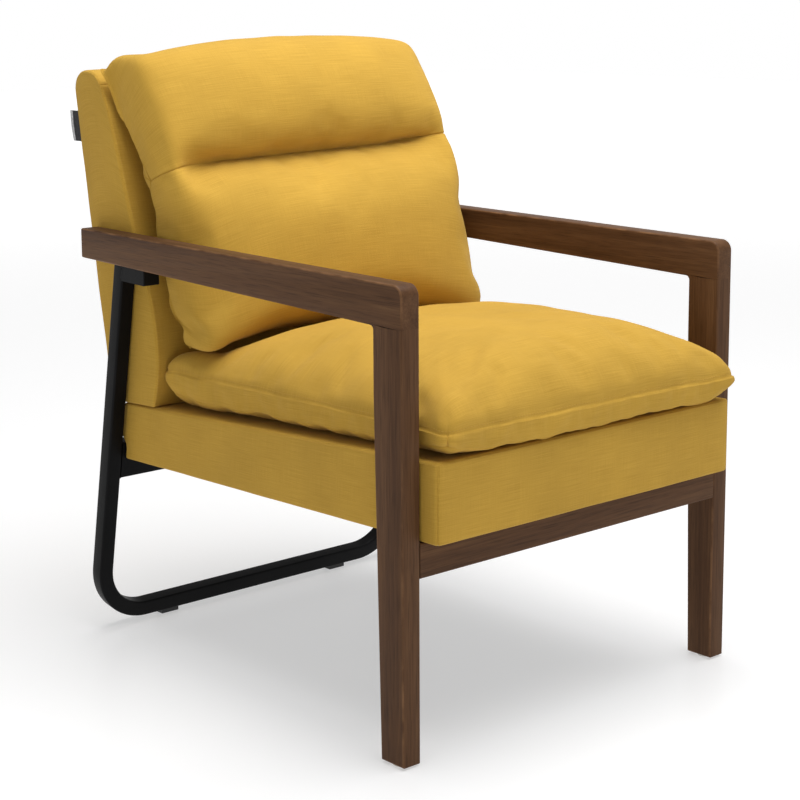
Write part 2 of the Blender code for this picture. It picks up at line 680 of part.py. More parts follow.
def back_foam():
    """Foam between the straps and the front cover, notched over the plank."""
    line = inset(back_outline(), CLOTH_T + 2 * GAP)
    front_points = line[-len(BACK_FRONT) - 1:-1]
    behind = -(BACK_SKIN + BACK_BOARD_T + STRAP_T + 3 * GAP)
    notch_z = back_foot(BACK_PLANK_FRONT) + BACK_RISE + BOARD_T + 2 * GAP
    foot_y, front_y = BACK_PLANK_FRONT - 2 * GAP, line[-1][0]
    outline = [(foot_y, back_foot(foot_y) + BACK_RISE), (foot_y, notch_z),
               (back_rear(notch_z) + behind, notch_z), (back_rear(BACK_FOAM_TOP) + behind, BACK_FOAM_TOP),
               *front_points, (front_y, back_foot(front_y) + BACK_RISE)]
    half = BACK_HALF - BACK_SIDE
    return add("back_foam", prism(outline, -half, half), FOAM)


def back_base_cloth():
    y0, y1 = BACK_FOOT_FRONT + 0.003, BACK_FOOT_REAR - 0.003
    low, high = GAP, 4 * GAP
    outline = [(y0, back_foot(y0) + low), (y1, back_foot(y1) + low),
               (y1, back_foot(y1) + high), (y0, back_foot(y0) + high)]
    half = BACK_HALF - 0.003
    return add("back_base_cloth", prism(outline, -half, half), BLACK_CLOTH)


def back_label():
    """A blank folded tab in the rear seam of the -X side."""
    z0, z1 = LABEL_Z, LABEL_Z + LABEL_H
    outline = [(back_rear(z0) + 2 * GAP, z0), (back_rear(z0) + LABEL_OUT, z0),
               (back_rear(z1) + LABEL_OUT, z1), (back_rear(z1) + 2 * GAP, z1)]
    x = -BACK_HALF + BACK_EDGE_R
    add("back_label", prism(outline, x, x + LABEL_T), WHITE_CLOTH)


# ---------- fixings ----------

def fixings(arms, tabs, rail, bar, boards, dust, foam, cover, plank, base):
    for tail, side in sides():
        y = 0.5 * (TAB_FRONT + loop_front(ARM_UNDER_REAR))
        under = arm_under(y) - TAB_H
        bolt("arm_bolt" + tail, (side * TUBE_X, y, under - 0.002), (0, 0, 1), ARM_BOLT_L,
             ARM_BOLT_HEAD_R, 0.004, (tabs[tail], arms[tail]))
        lean = Vector((0.0, -math.cos(LEAN), -math.sin(LEAN)))
        start = in_loop(side * REAR_BOLT_X, REAR_BOLT_UP, TUBE + 0.003)
        bolt("seat_bolt_rear" + tail, start, lean, REAR_BOLT_L, BOLT_HEAD_R, 0.0026,
             (bar, cover, boards["rear"]))
        start = (side * FRONT_BOLT_X, 0.5 * RAIL_T, RAIL_UNDER + 0.001)
        bolt("seat_bolt_front" + tail, start, (0, 0, 1), FRONT_BOLT_L, BOLT_HEAD_R, 0.003,
             (rail, dust, boards["block" + tail]))
        climb = Vector((0.0, -math.sin(LEAN), math.cos(LEAN)))
        foot = 0.5 * (Vector(box_rear(box_under, BOARD_RISE, CLOTH_T + GAP))
                      + Vector(box_rear(box_under, BOARD_RISE, CLOTH_T + GAP + BOARD_T)))
        start = (side * BACK_BOLT_X, foot.x, foot.y + 0.001)
        bolt("back_bolt" + tail, start, climb, BACK_BOLT_L, BOLT_HEAD_R, 0.004,
             (boards["rear"], foam, cover, base, plank))


# ---------- loose pieces ----------

def seat_cushion(parent):
    """Boxed cushion: crowned on top, pulled in at the sides, flat where it lies on the seat box."""
    across, along = 16, 16
    bm = bmesh.new()
    middle, reach = 0.5 * (CUSHION_FRONT + CUSHION_REAR), 0.5 * (CUSHION_REAR - CUSHION_FRONT)

    def place(u, v, z_of):
        tuck = 1.0 - 0.010 * (1.0 - v * v) * abs(u) ** 6 / CUSHION_HALF
        x, y = u * CUSHION_HALF * tuck, middle + v * reach
        return bm.verts.new((x, y, z_of(x, y, u, v)))

    def top(x, y, u, v):
        return dome(u * CUSHION_HALF, y)

    def seam_low(x, y, u, v):
        edge = max(abs(u), abs(v))
        return box_top(y) + CUSHION_LIFT + CUSHION_SEAM_LOW * max(edge - 0.75, 0.0) / 0.25

    grids = []
    for z_of in (top, seam_low):
        grids.append([[place(2.0 * i / across - 1.0, 2.0 * j / along - 1.0, z_of)
                       for i in range(across + 1)] for j in range(along + 1)])
    for grid in grids:
        for j in range(along):
            for i in range(across):
                bm.faces.new((grid[j][i], grid[j][i + 1], grid[j + 1][i + 1], grid[j + 1][i]))
    high, low = grids
    rim = [(0, i) for i in range(across)] + [(j, across) for j in range(along)]
    rim += [(along, i) for i in range(across, 0, -1)] + [(j, 0) for j in range(along, 0, -1)]
    for (j0, i0), (j1, i1) in zip(rim, rim[1:] + rim[:1]):
        bm.faces.new((high[j0][i0], high[j1][i1], low[j1][i1], low[j0][i0]))
    add("seat_cushion", bm, MUSTARD, parent, smooth=True)
    zip_z = box_top(CUSHION_REAR) + 0.5 * (CUSHION_SEAM_LOW + CUSHION_SEAM_TOP)
    y0, y1 = CUSHION_REAR + GAP, CUSHION_REAR + GAP + ZIP_T
    outline = [(y0, zip_z), (y1, zip_z), (y1, zip_z + ZIP_H), (y0, zip_z + ZIP_H)]
    add("seat_cushion_zip", prism(outline, -ZIP_HALF, ZIP_HALF), BLACK_PLASTIC, parent)


def back_pillow(parent):
    """Two soft lobes on one cover, thinner at the ends, hanging from the back's top front edge."""
    across = 12
    bm = bmesh.new()
    rings = []
    for i in range(across + 1):
        u = 2.0 * i / across - 1.0
        mid = 1.0 - abs(u) ** 2.5
        x = u * PILLOW_HALF
        fronts, rears = [], []
        for z, rear_mid, front_mid, rear_end, front_end in PILLOW_STATIONS:
            z_here = z - 0.020 * (1.0 - mid) * (z - 0.5) / 0.36
            fronts.append((x, front_end + (front_mid - front_end) * mid, z_here))
            rears.append((x, rear_end + (rear_mid - rear_end) * mid, z_here))
        foot = []
        for pick in (1, 2):
            z = PILLOW_FOOT[1][0] + (PILLOW_FOOT[0][0] - PILLOW_FOOT[1][0]) * mid
            y = PILLOW_FOOT[1][pick] + (PILLOW_FOOT[0][pick] - PILLOW_FOOT[1][pick]) * mid
            foot.append((x, y, max(z, dome(x, y) + 0.004)))
        ring = [*fronts, *foot, *reversed(rears)]
        rings.append([bm.verts.new(p) for p in ring])
    count = len(rings[0])
    for low, high in zip(rings, rings[1:]):
        for k in range(count):
            m = (k + 1) % count
            bm.faces.new((low[k], low[m], high[m], high[k]))
    bm.faces.new(rings[0])
    bm.faces.new(rings[-1])
    add("back_pillow", bm, MUSTARD, parent, smooth=True)


# ---------- assembly ----------

def build():
    clear_scene()
    arms, legs, rail = armrests(), front_legs(), front_rail()
    timber_dowels(arms, legs, rail)
    leg_glides()
    rear_loop()
    bar, tabs = crossbar(), arm_tabs()
    loop_glides()
    cover, boards, foam = seat_cover(), seat_boards(), seat_foam()
    seat_straps()
    dust = seat_dust_cloth()
    back_cover()
    plank = back_frame()
    back_foam()
    base = back_base_cloth()
    back_label()
    fixings(arms, tabs, rail, bar, boards, dust, foam, cover, plank, base)
    seat_cushion(pivot("seat_cushion_slide", CUSHION_REAR, box_top(CUSHION_REAR)))
    back_pillow(pivot("back_pillow_hinge", *PILLOW_HINGE))


build()
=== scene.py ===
"""Looks for the lounge armchair: woven covers, stained timber and powder-coated tube around the CAD frame.

Metres, +Z up, the sitter faces -Y. Stations run rearward from the plane of the legs' front faces.
"""
import math

import bmesh
import bpy
import numpy as np
from mathutils import Matrix, Vector, noise
from mathutils.bvhtree import BVHTree
from mathutils.kdtree import KDTree


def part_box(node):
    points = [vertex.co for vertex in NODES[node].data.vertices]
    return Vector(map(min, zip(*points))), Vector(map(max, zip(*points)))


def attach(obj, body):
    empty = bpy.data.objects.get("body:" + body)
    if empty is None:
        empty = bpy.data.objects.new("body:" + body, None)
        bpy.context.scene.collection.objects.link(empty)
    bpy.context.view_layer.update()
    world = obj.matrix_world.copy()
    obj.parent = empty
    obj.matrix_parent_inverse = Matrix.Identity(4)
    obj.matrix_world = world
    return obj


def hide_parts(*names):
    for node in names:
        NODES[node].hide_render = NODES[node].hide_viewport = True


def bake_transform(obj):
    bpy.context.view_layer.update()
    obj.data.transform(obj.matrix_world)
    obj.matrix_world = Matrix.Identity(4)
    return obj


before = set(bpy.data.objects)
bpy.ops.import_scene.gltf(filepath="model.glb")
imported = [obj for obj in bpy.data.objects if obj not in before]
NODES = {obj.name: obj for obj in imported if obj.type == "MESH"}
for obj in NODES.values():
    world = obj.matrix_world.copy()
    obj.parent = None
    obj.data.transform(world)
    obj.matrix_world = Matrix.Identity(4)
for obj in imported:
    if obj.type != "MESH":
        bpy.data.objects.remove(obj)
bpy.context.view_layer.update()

# ---------- driving dimensions, repeated from the design or read from the frame ----------

LEG_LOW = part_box("front_leg_l")[0]
FRONT_Y = LEG_LOW.y
GAP = 0.0003

ARM_LOW, ARM_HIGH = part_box("armrest_l")
RAIL_LOW, RAIL_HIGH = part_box("front_rail")
HALF_WIDTH = -ARM_LOW.x
ARM_T = ARM_HIGH.x - ARM_LOW.x
ARM_LENGTH = ARM_HIGH.y - ARM_LOW.y
ARM_TOP_FRONT, ARM_TOP_REAR = 0.598, ARM_HIGH.z
ARM_UNDER_FRONT, ARM_UNDER_REAR = ARM_LOW.z, 0.562
NOSE_R = 0.015
LEG_DEPTH, LEG_FOOT_DEPTH = 0.052, 0.041
LEG_TAPER_START, LEG_FILLET = 0.46, 0.006
EDGE_R = 0.0025

TUBE, TUBE_CORNER, TUBE_X = 0.023, 0.003, 0.2889
BEND_R = 0.0785
LEAN = math.radians(10.0)
LOOP_FRONT, LOOP_CLEARANCE = 0.6913, 0.0055
BAR_LOW, BAR_H = 0.238, 0.055

BOX_LOW, BOX_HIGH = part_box("seat_cover")
BOX_HALF = BOX_HIGH.x
BOX_FRONT = BOX_LOW.y - FRONT_Y
BOX_TOP_FRONT = BOX_HIGH.z
SEAT_TILT = math.radians(2.8)
BOX_UNDER_FRONT, BOX_UNDER_SLOPE, BOX_UNDER_BREAK = 0.2819, -0.0224, 0.0225

BACK_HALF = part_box("back_cover")[1].x
BACK_FOOT = (0.5655, 0.673)
BACK_REAR_TOP = (0.7455, 0.798)

CUSHION_LOW, CUSHION_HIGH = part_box("seat_cushion")
CUSHION_HALF = CUSHION_HIGH.x
CUSHION_FRONT = CUSHION_LOW.y - FRONT_Y
CUSHION_REAR = CUSHION_HIGH.y - FRONT_Y

PILLOW_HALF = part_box("back_pillow")[1].x + 0.002


def box_top(y):
    """Height of the seat box's sloping top at a station."""
    return BOX_TOP_FRONT - math.tan(SEAT_TILT) * (y - BOX_FRONT)


def box_under(y):
    """Height of the seat box's underside, level at the front and sloping behind."""
    return BOX_UNDER_FRONT + BOX_UNDER_SLOPE * max(y - BOX_UNDER_BREAK, 0.0)


def arm_under(y):
    """Height of the arm's underside: level over the leg, then straight to the rear end."""
    slope = (ARM_UNDER_REAR - ARM_UNDER_FRONT) / (ARM_LENGTH - LEG_DEPTH)
    return ARM_UNDER_FRONT + slope * max(y - LEG_DEPTH, 0.0)


def loop_front(z):
    """Station of the leaning tube's front face."""
    return LOOP_FRONT - math.tan(LEAN) * z


def back_foot(y):
    """Height of the back's foot, just above the box."""
    return box_top(y) + 2 * GAP


def back_rear(z):
    """Station of the back's rear face."""
    y0, z0 = BACK_FOOT[1], back_foot(BACK_FOOT[1])
    return y0 + (BACK_REAR_TOP[0] - y0) * (z - z0) / (BACK_REAR_TOP[1] - z0)


# ---------- materials ----------

def socket_set(shader, **values):
    """Sets a shader's sockets by name, with underscores for spaces."""
    for name, value in values.items():
        shader.inputs[name.replace("_", " ")].default_value = value


class Nodes:
    """A material's node tree with short calls for the nodes used here."""

    def __init__(self, name, **shader_values):
        self.material = bpy.data.materials.new(name)
        self.material.use_nodes = True
        self.tree = self.material.node_tree
        self.shader = self.tree.nodes["Principled BSDF"]
        socket_set(self.shader, **shader_values)

    def add(self, kind, **settings):
        node = self.tree.nodes.new(kind)
        for key, value in settings.items():
            setattr(node, key, value)
        return node

    def join(self, out, into):
        self.tree.links.new(out, into)
        return out

    def place(self, scale=(1.0, 1.0, 1.0), uv=None):
        """Object coordinates, or a UV map's, times scale."""
        if uv:
            source = self.add("ShaderNodeUVMap", uv_map=uv).outputs["UV"]
        else:
            source = self.add("ShaderNodeTexCoord").outputs["Object"]
        mapping = self.add("ShaderNodeMapping")
        mapping.inputs["Scale"].default_value = scale
        self.join(source, mapping.inputs["Vector"])
        return mapping.outputs["Vector"]

    def noise(self, vector, scale, detail=3.0, rough=0.5):
        node = self.add("ShaderNodeTexNoise")
        node.inputs["Scale"].default_value = scale
        node.inputs["Detail"].default_value = detail
        node.inputs["Roughness"].default_value = rough
        self.join(vector, node.inputs["Vector"])
        return node.outputs["Fac"]

    def ramp(self, value, stops):
        """Maps a value through (position, colour or grey) stops."""
        node = self.add("ShaderNodeValToRGB")
        while len(node.color_ramp.elements) < len(stops):
            node.color_ramp.elements.new(0.5)
        for element, (position, colour) in zip(node.color_ramp.elements, stops):
            element.position = position
            element.color = (*colour, 1.0) if isinstance(colour, tuple) else (colour, colour, colour, 1.0)
        self.join(value, node.inputs["Fac"])
        return node.outputs["Color"]

    def math(self, operation, a, b=None):
        node = self.add("ShaderNodeMath", operation=operation)
        for socket, value in zip(node.inputs, (a, b)):
            if value is None:
                continue
            if isinstance(value, (int, float)):
                socket.default_value = value
            else:
                self.join(value, socket)
        return node.outputs["Value"]

    def mix(self, factor, a, b, blend="MIX"):
        """Mixes two colours; each argument is a socket or a constant."""
        node = self.add("ShaderNodeMix", data_type="RGBA", blend_type=blend)
        for socket, value in ((node.inputs[0], factor), (node.inputs[6], a), (node.inputs[7], b)):
            if isinstance(value, (int, float)):
                socket.default_value = value
            elif isinstance(value, tuple):
                socket.default_value = (*value, 1.0)
            else:
                self.join(value, socket)
        return node.outputs[2]

    def add_up(self, a, share_a, b, share_b):
        """The sum of two values, each times its share."""
        total = self.math("MULTIPLY_ADD", a, share_a)
        self.join(self.math("MULTIPLY", b, share_b), total.node.inputs[2])
        return total

    def colour(self, out):
        self.join(out, self.shader.inputs["Base Color"])

    def rough(self, out):
        self.join(out, self.shader.inputs["Roughness"])

    def bump(self, height, distance, strength):
        """Raises the surface by a height value."""
        node = self.add("ShaderNodeBump")
        node.inputs["Strength"].default_value = strength
        node.inputs["Distance"].default_value = distance
        self.join(height, node.inputs["Height"])
        self.join(node.outputs["Normal"], self.shader.inputs["Normal"])


CLOTH_UV = "cloth"
THREAD_PITCH = 0.0008


def woven(name, dark, light):
    """Slubby plain weave: crossing threads, long irregular slubs both ways and a faint cloudiness."""
    n = Nodes(name, Roughness=0.85, Specular_IOR_Level=0.16, Sheen_Weight=0.10, Sheen_Roughness=0.4)
    socket_set(n.shader, Sheen_Tint=(1.0, 0.86, 0.55, 1.0))
    split = n.add("ShaderNodeSeparateXYZ")
    n.join(n.place(uv=CLOTH_UV), split.inputs["Vector"])
    across = n.math("SINE", n.math("MULTIPLY", split.outputs["X"], math.pi / THREAD_PITCH))
    along = n.math("SINE", n.math("MULTIPLY", split.outputs["Y"], math.pi / THREAD_PITCH))
    weave = n.math("MULTIPLY_ADD", n.math("MULTIPLY", across, along), 0.5)
    weave.node.inputs[2].default_value = 0.5
    weft = n.noise(n.place((18.0, 1150.0, 1.0), uv=CLOTH_UV), 1.0, 2.0, 0.6)
    warp = n.noise(n.place((1050.0, 26.0, 1.0), uv=CLOTH_UV), 1.0, 2.0, 0.6)
    cloud = n.noise(n.place((9.0, 9.0, 9.0), uv=CLOTH_UV), 1.0, 2.0)
    threads = n.add_up(weft, 0.70, warp, 0.30)
    tone = n.ramp(threads, [(0.30, 0.0), (0.72, 1.0)])
    base = n.mix(tone, dark, light)
    cloudy = n.ramp(cloud, [(0.25, 0.92), (0.75, 1.05)])
    base = n.mix(1.0, base, cloudy, "MULTIPLY")
    pores = n.ramp(weave, [(0.0, 0.90), (0.45, 1.0)])
    n.colour(n.mix(1.0, base, pores, "MULTIPLY"))
    n.bump(n.add_up(threads, 1.3, weave, 0.6), 0.0005, 0.65)
    return n.material


GRAIN_AXES = {"x": (1.6, 42.0, 42.0), "y": (42.0, 1.6, 42.0), "z": (42.0, 42.0, 1.6)}


def stained_timber(name, axis, dark, mid, light, shine=0.42):
    """Straight fine grain along one axis, dark pores, and a painted highlight that lightens the rounded
    arrises where the mesh marks them.
    """
    n = Nodes(name, Specular_IOR_Level=0.09)
    scale = GRAIN_AXES[axis]
    wide = n.noise(n.place(scale), 1.0, 4.0, 0.55)
    fine = n.noise(n.place(tuple(7.0 * s for s in scale)), 1.0, 3.0, 0.6)
    pore = n.noise(n.place(tuple((22.0 if s > 10 else 14.0) * s for s in scale)), 1.0, 2.0, 0.5)
    base = n.ramp(n.add_up(wide, 0.6, fine, 0.4), [(0.30, dark), (0.52, mid), (0.74, light)])
    pores = n.ramp(pore, [(0.34, 0.55), (0.46, 1.0)])
    base = n.mix(0.7, base, pores, "MULTIPLY")
    # painted highlight: the rounded arrises are lightened in patches towards a doubled light tone, standing
    # in for edge reflections
    arris_highlight_mask = n.add("ShaderNodeAttribute", attribute_name="arris").outputs["Fac"]
    patchy = n.ramp(n.noise(n.place((30.0, 30.0, 30.0)), 1.0, 4.0), [(0.42, 0.0), (0.62, 1.0)])
    painted_edge_highlight = n.math("MULTIPLY", n.math("MULTIPLY", arris_highlight_mask, patchy), 0.35)
    n.colour(n.mix(painted_edge_highlight, base, tuple(min(1.0, 2.1 * c) for c in light)))
    n.rough(n.ramp(fine, [(0.2, shine - 0.05), (0.8, shine + 0.13)]))
    n.bump(n.add_up(fine, 0.5, pore, 0.5), 0.00035, 0.45)
    return n.material


def powder_coat(name):
    n = Nodes(name, Specular_IOR_Level=0.09)
    speck = n.noise(n.place(), 900.0, 2.0)
    cloud = n.noise(n.place(), 14.0, 3.0)
    n.colour(n.ramp(cloud, [(0.3, (0.0034, 0.0034, 0.0037)), (0.7, (0.0060, 0.0060, 0.0064))]))
    n.rough(n.ramp(speck, [(0.25, 0.36), (0.8, 0.52)]))
    n.bump(speck, 0.00025, 0.5)
    return n.material


def plated_steel(name):
    n = Nodes(name, Metallic=1.0)
    brush = n.noise(n.place((60.0, 60.0, 900.0)), 1.0, 3.0)
    n.colour(n.ramp(brush, [(0.2, (0.42, 0.42, 0.44)), (0.8, (0.62, 0.62, 0.63))]))
    n.rough(n.ramp(brush, [(0.2, 0.26), (0.8, 0.42)]))
    n.bump(brush, 0.0001, 0.3)
    return n.material


def moulded(name, colour, roughness, grain=700.0):
    n = Nodes(name, Specular_IOR_Level=0.45)
    speck = n.noise(n.place(), grain, 3.0)
    n.colour(n.ramp(speck, [(0.2, tuple(0.85 * c for c in colour)), (0.8, tuple(1.1 * c for c in colour))]))
    n.rough(n.ramp(speck, [(0.2, roughness - 0.06), (0.8, roughness + 0.08)]))
    n.bump(speck, 0.0002, 0.35)
    return n.material


def open_foam(name):
    n = Nodes(name, Roughness=0.95, Specular_IOR_Level=0.1)
    cell = n.add("ShaderNodeTexVoronoi")
    cell.inputs["Scale"].default_value = 420.0
    n.join(n.place(), cell.inputs["Vector"])
    n.colour(n.ramp(cell.outputs["Distance"], [(0.0, (0.50, 0.44, 0.28)), (0.6, (0.82, 0.76, 0.56))]))
    n.bump(cell.outputs["Distance"], 0.001, 0.6)
    return n.material


def strap_weave(name, colour):
    """Herringbone-ribbed elastic webbing."""
    n = Nodes(name, Roughness=0.85, Specular_IOR_Level=0.2, Sheen_Weight=0.1)
    wave = n.add("ShaderNodeTexWave", wave_type="BANDS", bands_direction="DIAGONAL")
    wave.inputs["Scale"].default_value = 260.0
    wave.inputs["Distortion"].default_value = 0.6
    n.join(n.place(), wave.inputs["Vector"])
    n.colour(n.ramp(wave.outputs["Fac"], [(0.1, tuple(0.5 * c for c in colour)),
                                          (0.9, tuple(1.4 * c for c in colour))]))
    n.bump(wave.outputs["Fac"], 0.0006, 0.6)
    return n.material


def spun_cloth(name, colour):
    """Thin spun-bonded cloth with its embossed dot pattern."""
    n = Nodes(name, Roughness=0.9, Specular_IOR_Level=0.2, Sheen_Weight=0.1)
    dots = n.add("ShaderNodeTexVoronoi", feature="F1")
    dots.inputs["Scale"].default_value = 520.0
    dots.inputs["Randomness"].default_value = 0.15
    n.join(n.place(), dots.inputs["Vector"])
    fibre = n.noise(n.place(), 260.0, 4.0, 0.7)
    n.colour(n.ramp(fibre, [(0.3, tuple(0.6 * c for c in colour)), (0.7, tuple(1.5 * c for c in colour))]))
    n.bump(dots.outputs["Distance"], 0.0003, 0.5)
    return n.material


MUSTARD_DARK, MUSTARD_LIGHT = (0.445, 0.256, 0.033), (0.580, 0.349, 0.055)
WALNUT = ((0.056, 0.025, 0.012), (0.104, 0.050, 0.023), (0.160, 0.082, 0.038))
BIRCH = ((0.40, 0.27, 0.14), (0.58, 0.43, 0.26), (0.70, 0.55, 0.36))

FABRIC = woven("mustard_weave", MUSTARD_DARK, MUSTARD_LIGHT)
THREAD_LOOK = moulded("mustard_thread", (0.50, 0.29, 0.035), 0.7, grain=1500.0)
TIMBER = {axis: stained_timber("walnut_" + axis, axis, *WALNUT) for axis in "xyz"}
PALE_TIMBER = {axis: stained_timber("birch_" + axis, axis, *BIRCH, shine=0.6) for axis in "xyz"}
STEEL = powder_coat("black_powder_coat")
ZINC = plated_steel("zinc_plate")
BLACK_PLASTIC = moulded("black_moulding", (0.02, 0.02, 0.021), 0.5)
PALE_PLASTIC = moulded("pale_moulding", (0.62, 0.60, 0.55), 0.45)
FOAM = open_foam("foam_cells")
WEBBING = strap_weave("strap_rib", (0.045, 0.045, 0.048))
BLACK_CLOTH = spun_cloth("dust_cloth", (0.022, 0.022, 0.024))
TAPE = spun_cloth("blank_tape", (0.42, 0.42, 0.43))
TAPE_DARK = spun_cloth("blank_tape_face", (0.03, 0.03, 0.033))


# ---------- mesh helpers ----------

def at(x, y, z):
    """A point from across, station and height."""
    return Vector((x, FRONT_Y + y, z))


def link(name, mesh, material, body, nodes=()):
    """Makes a mesh a piece of the object that rides on a body, if it has one, and stands for CAD nodes."""
    obj = bpy.data.objects.new(name, mesh)
    bpy.context.scene.collection.objects.link(obj)
    mesh.materials.append(material)
    if body:
        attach(obj, body)
    if nodes:
        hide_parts(*nodes)
    return obj


def to_mesh(name, bm, sharp=None):
    """A bmesh as a smooth-shaded mesh, sharp only above an angle in degrees."""
    bmesh.ops.recalc_face_normals(bm, faces=bm.faces)
    mesh = bpy.data.meshes.new(name)
    bm.to_mesh(mesh)
    bm.free()
    mesh.shade_smooth()
    if sharp:
        mesh.set_sharp_from_angle(angle=math.radians(sharp))
    return mesh


def arc(centre, radius, start, end, steps):
    """Points on an arc in the (station, height) plane, angles in degrees."""
    turns = [math.radians(start + (end - start) * i / steps) for i in range(steps + 1)]
    return [(centre[0] + radius * math.cos(a), centre[1] + radius * math.sin(a)) for a in turns]


def smooth_line(points, count):
    """Points at equal steps along a Catmull-Rom curve through the given points."""
    p = np.array(points, float)
    p = np.vstack([2 * p[0] - p[1], p, 2 * p[-1] - p[-2]])
    t = np.linspace(0.0, 1.0, 16, endpoint=False)[:, None]
    runs = []
    for a, b, c, d in zip(p, p[1:], p[2:], p[3:]):
        runs.append(0.5 * (2 * b + (c - a) * t + (2 * a - 5 * b + 4 * c - d) * t ** 2
                           + (3 * b - a - 3 * c + d) * t ** 3))
    line = np.vstack([*runs, p[-2:-1]])
    return at_lengths(line, np.linspace(0.0, 1.0, count))


def at_lengths(line, shares):
    """Points of a polyline at shares of its length."""
    line = np.asarray(line, float)
    steps = np.linalg.norm(np.diff(line, axis=0), axis=1)
    run = np.concatenate([[0.0], np.cumsum(steps)]) / steps.sum()
    return np.stack([np.interp(shares, run, line[:, k]) for k in range(line.shape[1])], axis=1)


def mark_arrises(bm, faces):
    """Stores 1 on the vertices of rounded edges, for the timber's painted edge highlight."""
    layer = bm.verts.layers.float.new("arris")
    rounded = set(faces)
    for vert in {v for f in faces for v in f.verts}:
        vert[layer] = 1.0 if all(f in rounded for f in vert.link_faces) else 0.0


def board(name, outline, x_low, x_high, sharp_edge, material, nodes):
    """A timber board extruded along X, its edges rounded except where sharp_edge(edge) is true."""
    bm = bmesh.new()
    face = bm.faces.new([bm.verts.new(at(x_low, y, z)) for y, z in outline])
    out = bmesh.ops.extrude_face_region(bm, geom=[face])
    moved = [v for v in out["geom"] if isinstance(v, bmesh.types.BMVert)]
    bmesh.ops.translate(bm, verts=moved, vec=(x_high - x_low, 0.0, 0.0))
    edges = [e for e in bm.edges if not sharp_edge(e)]
    made = bmesh.ops.bevel(bm, geom=edges, offset=EDGE_R, offset_type="OFFSET", segments=5, profile=0.5,
                           affect="EDGES", clamp_overlap=False)
    mark_arrises(bm, made["faces"])
    return link(name, to_mesh(name, bm, 40), material, "frame", nodes)


# ---------- timber ----------

def level(edge, z):
    return all(abs(v.co.z - z) < 1e-6 for v in edge.verts)


def across_x(edge):
    return abs(edge.verts[0].co.x - edge.verts[1].co.x) > 1e-3


def timber():
    top_slope = math.degrees(math.atan2(ARM_TOP_REAR - ARM_TOP_FRONT, ARM_LENGTH))
    nose = arc((NOSE_R, ARM_TOP_FRONT - NOSE_R), NOSE_R, 180.0, 90.0 + top_slope, 12)
    arm = [(0.0, ARM_UNDER_FRONT), (LEG_DEPTH + LEG_FILLET, ARM_UNDER_FRONT),
           (ARM_LENGTH, ARM_UNDER_REAR), (ARM_LENGTH, ARM_TOP_REAR), *reversed(nose)]
    top, foot = ARM_UNDER_FRONT, LEG_LOW.z
    fillet = arc((LEG_DEPTH + LEG_FILLET, top - LEG_FILLET), LEG_FILLET, 180.0, 90.0, 8)
    leg = [(0.0, foot), (LEG_FOOT_DEPTH, foot), (LEG_DEPTH, LEG_TAPER_START), *fillet, (0.0, top)]

    def arm_sharp(edge):
        front = max(v.co.y for v in edge.verts) < FRONT_Y + LEG_DEPTH
        return level(edge, ARM_UNDER_FRONT) or (across_x(edge) and front)

    for tail, side in (("_l", -1.0), ("_r", 1.0)):
        x_low, x_high = sorted((side * HALF_WIDTH, side * (HALF_WIDTH - ARM_T)))
        board("arm_board" + tail, arm, x_low, x_high, arm_sharp, TIMBER["y"], ("armrest" + tail,))
        board("leg_board" + tail, leg, x_low, x_high, lambda e: level(e, top) or across_x(e), TIMBER["z"],
              ("front_leg" + tail,))
    reach = RAIL_HIGH.x
    depth = RAIL_HIGH.y - RAIL_LOW.y
    rail = [(0.0, RAIL_LOW.z), (depth, RAIL_LOW.z), (depth, RAIL_HIGH.z), (0.0, RAIL_HIGH.z)]
    board("rail_board", rail, -reach, reach, lambda e: not across_x(e), TIMBER["x"], ("front_rail",))


# ---------- steel ----------

def tube_section(width, height, corner, steps):
    """A rounded rectangle about the origin, anticlockwise."""
    points = []
    for quarter, (sx, sy) in enumerate(((1, 1), (-1, 1), (-1, -1), (1, -1))):
        cx, cy = sx * (0.5 * width - corner), sy * (0.5 * height - corner)
        for i in range(steps + 1):
            a = math.pi / 2 * (quarter + i / steps)
            points.append((cx + corner * math.cos(a), cy + corner * math.sin(a)))
    return points


def in_loop(x, up, rear):
    """A point of the leaning plane: across, up the plane from its lower edge, behind its front face."""
    c, s = math.cos(LEAN), math.sin(LEAN)
    return at(x, loop_front(LOOP_CLEARANCE) - up * s + rear * c, LOOP_CLEARANCE + up * c + rear * s)


def to_arm(x, rear):
    """Where a line up the loop's plane meets the arm's underside."""
    low, high = 0.3, 0.9
    for _ in range(40):
        up = 0.5 * (low + high)
        point = in_loop(x, up, rear)
        if point.z < arm_under(point.y - FRONT_Y) - GAP:
            low = up
        else:
            high = up
    return in_loop(x, low, rear)


def skin(rings, bm=None):
    """A closed tube through rings of equal count, in a new bmesh or added to one."""
    if bm is None:
        bm = bmesh.new()
    rings = [[bm.verts.new(p) for p in ring] for ring in rings]
    for low, high in zip(rings, rings[1:]):
        for i in range(len(low)):
            j = (i + 1) % len(low)
            bm.faces.new((low[i], low[j], high[j], high[i]))
    bm.faces.new(rings[0])
    bm.faces.new(rings[-1])
    return bm


def steel_loop():
    """The bent U, smooth round its bends, its tops cut to the arms' undersides."""
    section = tube_section(TUBE, TUBE, TUBE_CORNER, 5)
    low, side_x, steps = 0.5 * TUBE, TUBE_X - BEND_R, 24
    path = []
    for i in range(steps + 1):
        a = math.radians(180.0 + 90.0 * i / steps)
        path.append(((-side_x + BEND_R * math.cos(a), low + BEND_R + BEND_R * math.sin(a)), a))
    path += [((-x, v), math.pi - a) for (x, v), a in reversed(path)]
    rings = [[to_arm(-TUBE_X - out, depth + low) for out, depth in section]]
    for (x, up), a in path:
        rings.append([in_loop(x + out * math.cos(a), up + out * math.sin(a), depth + low)
                      for out, depth in section])
    rings.append([to_arm(TUBE_X + out, depth + low) for out, depth in section])
    link("steel_loop", to_mesh("steel_loop", skin(rings), 50), STEEL, "frame", ("rear_loop",))


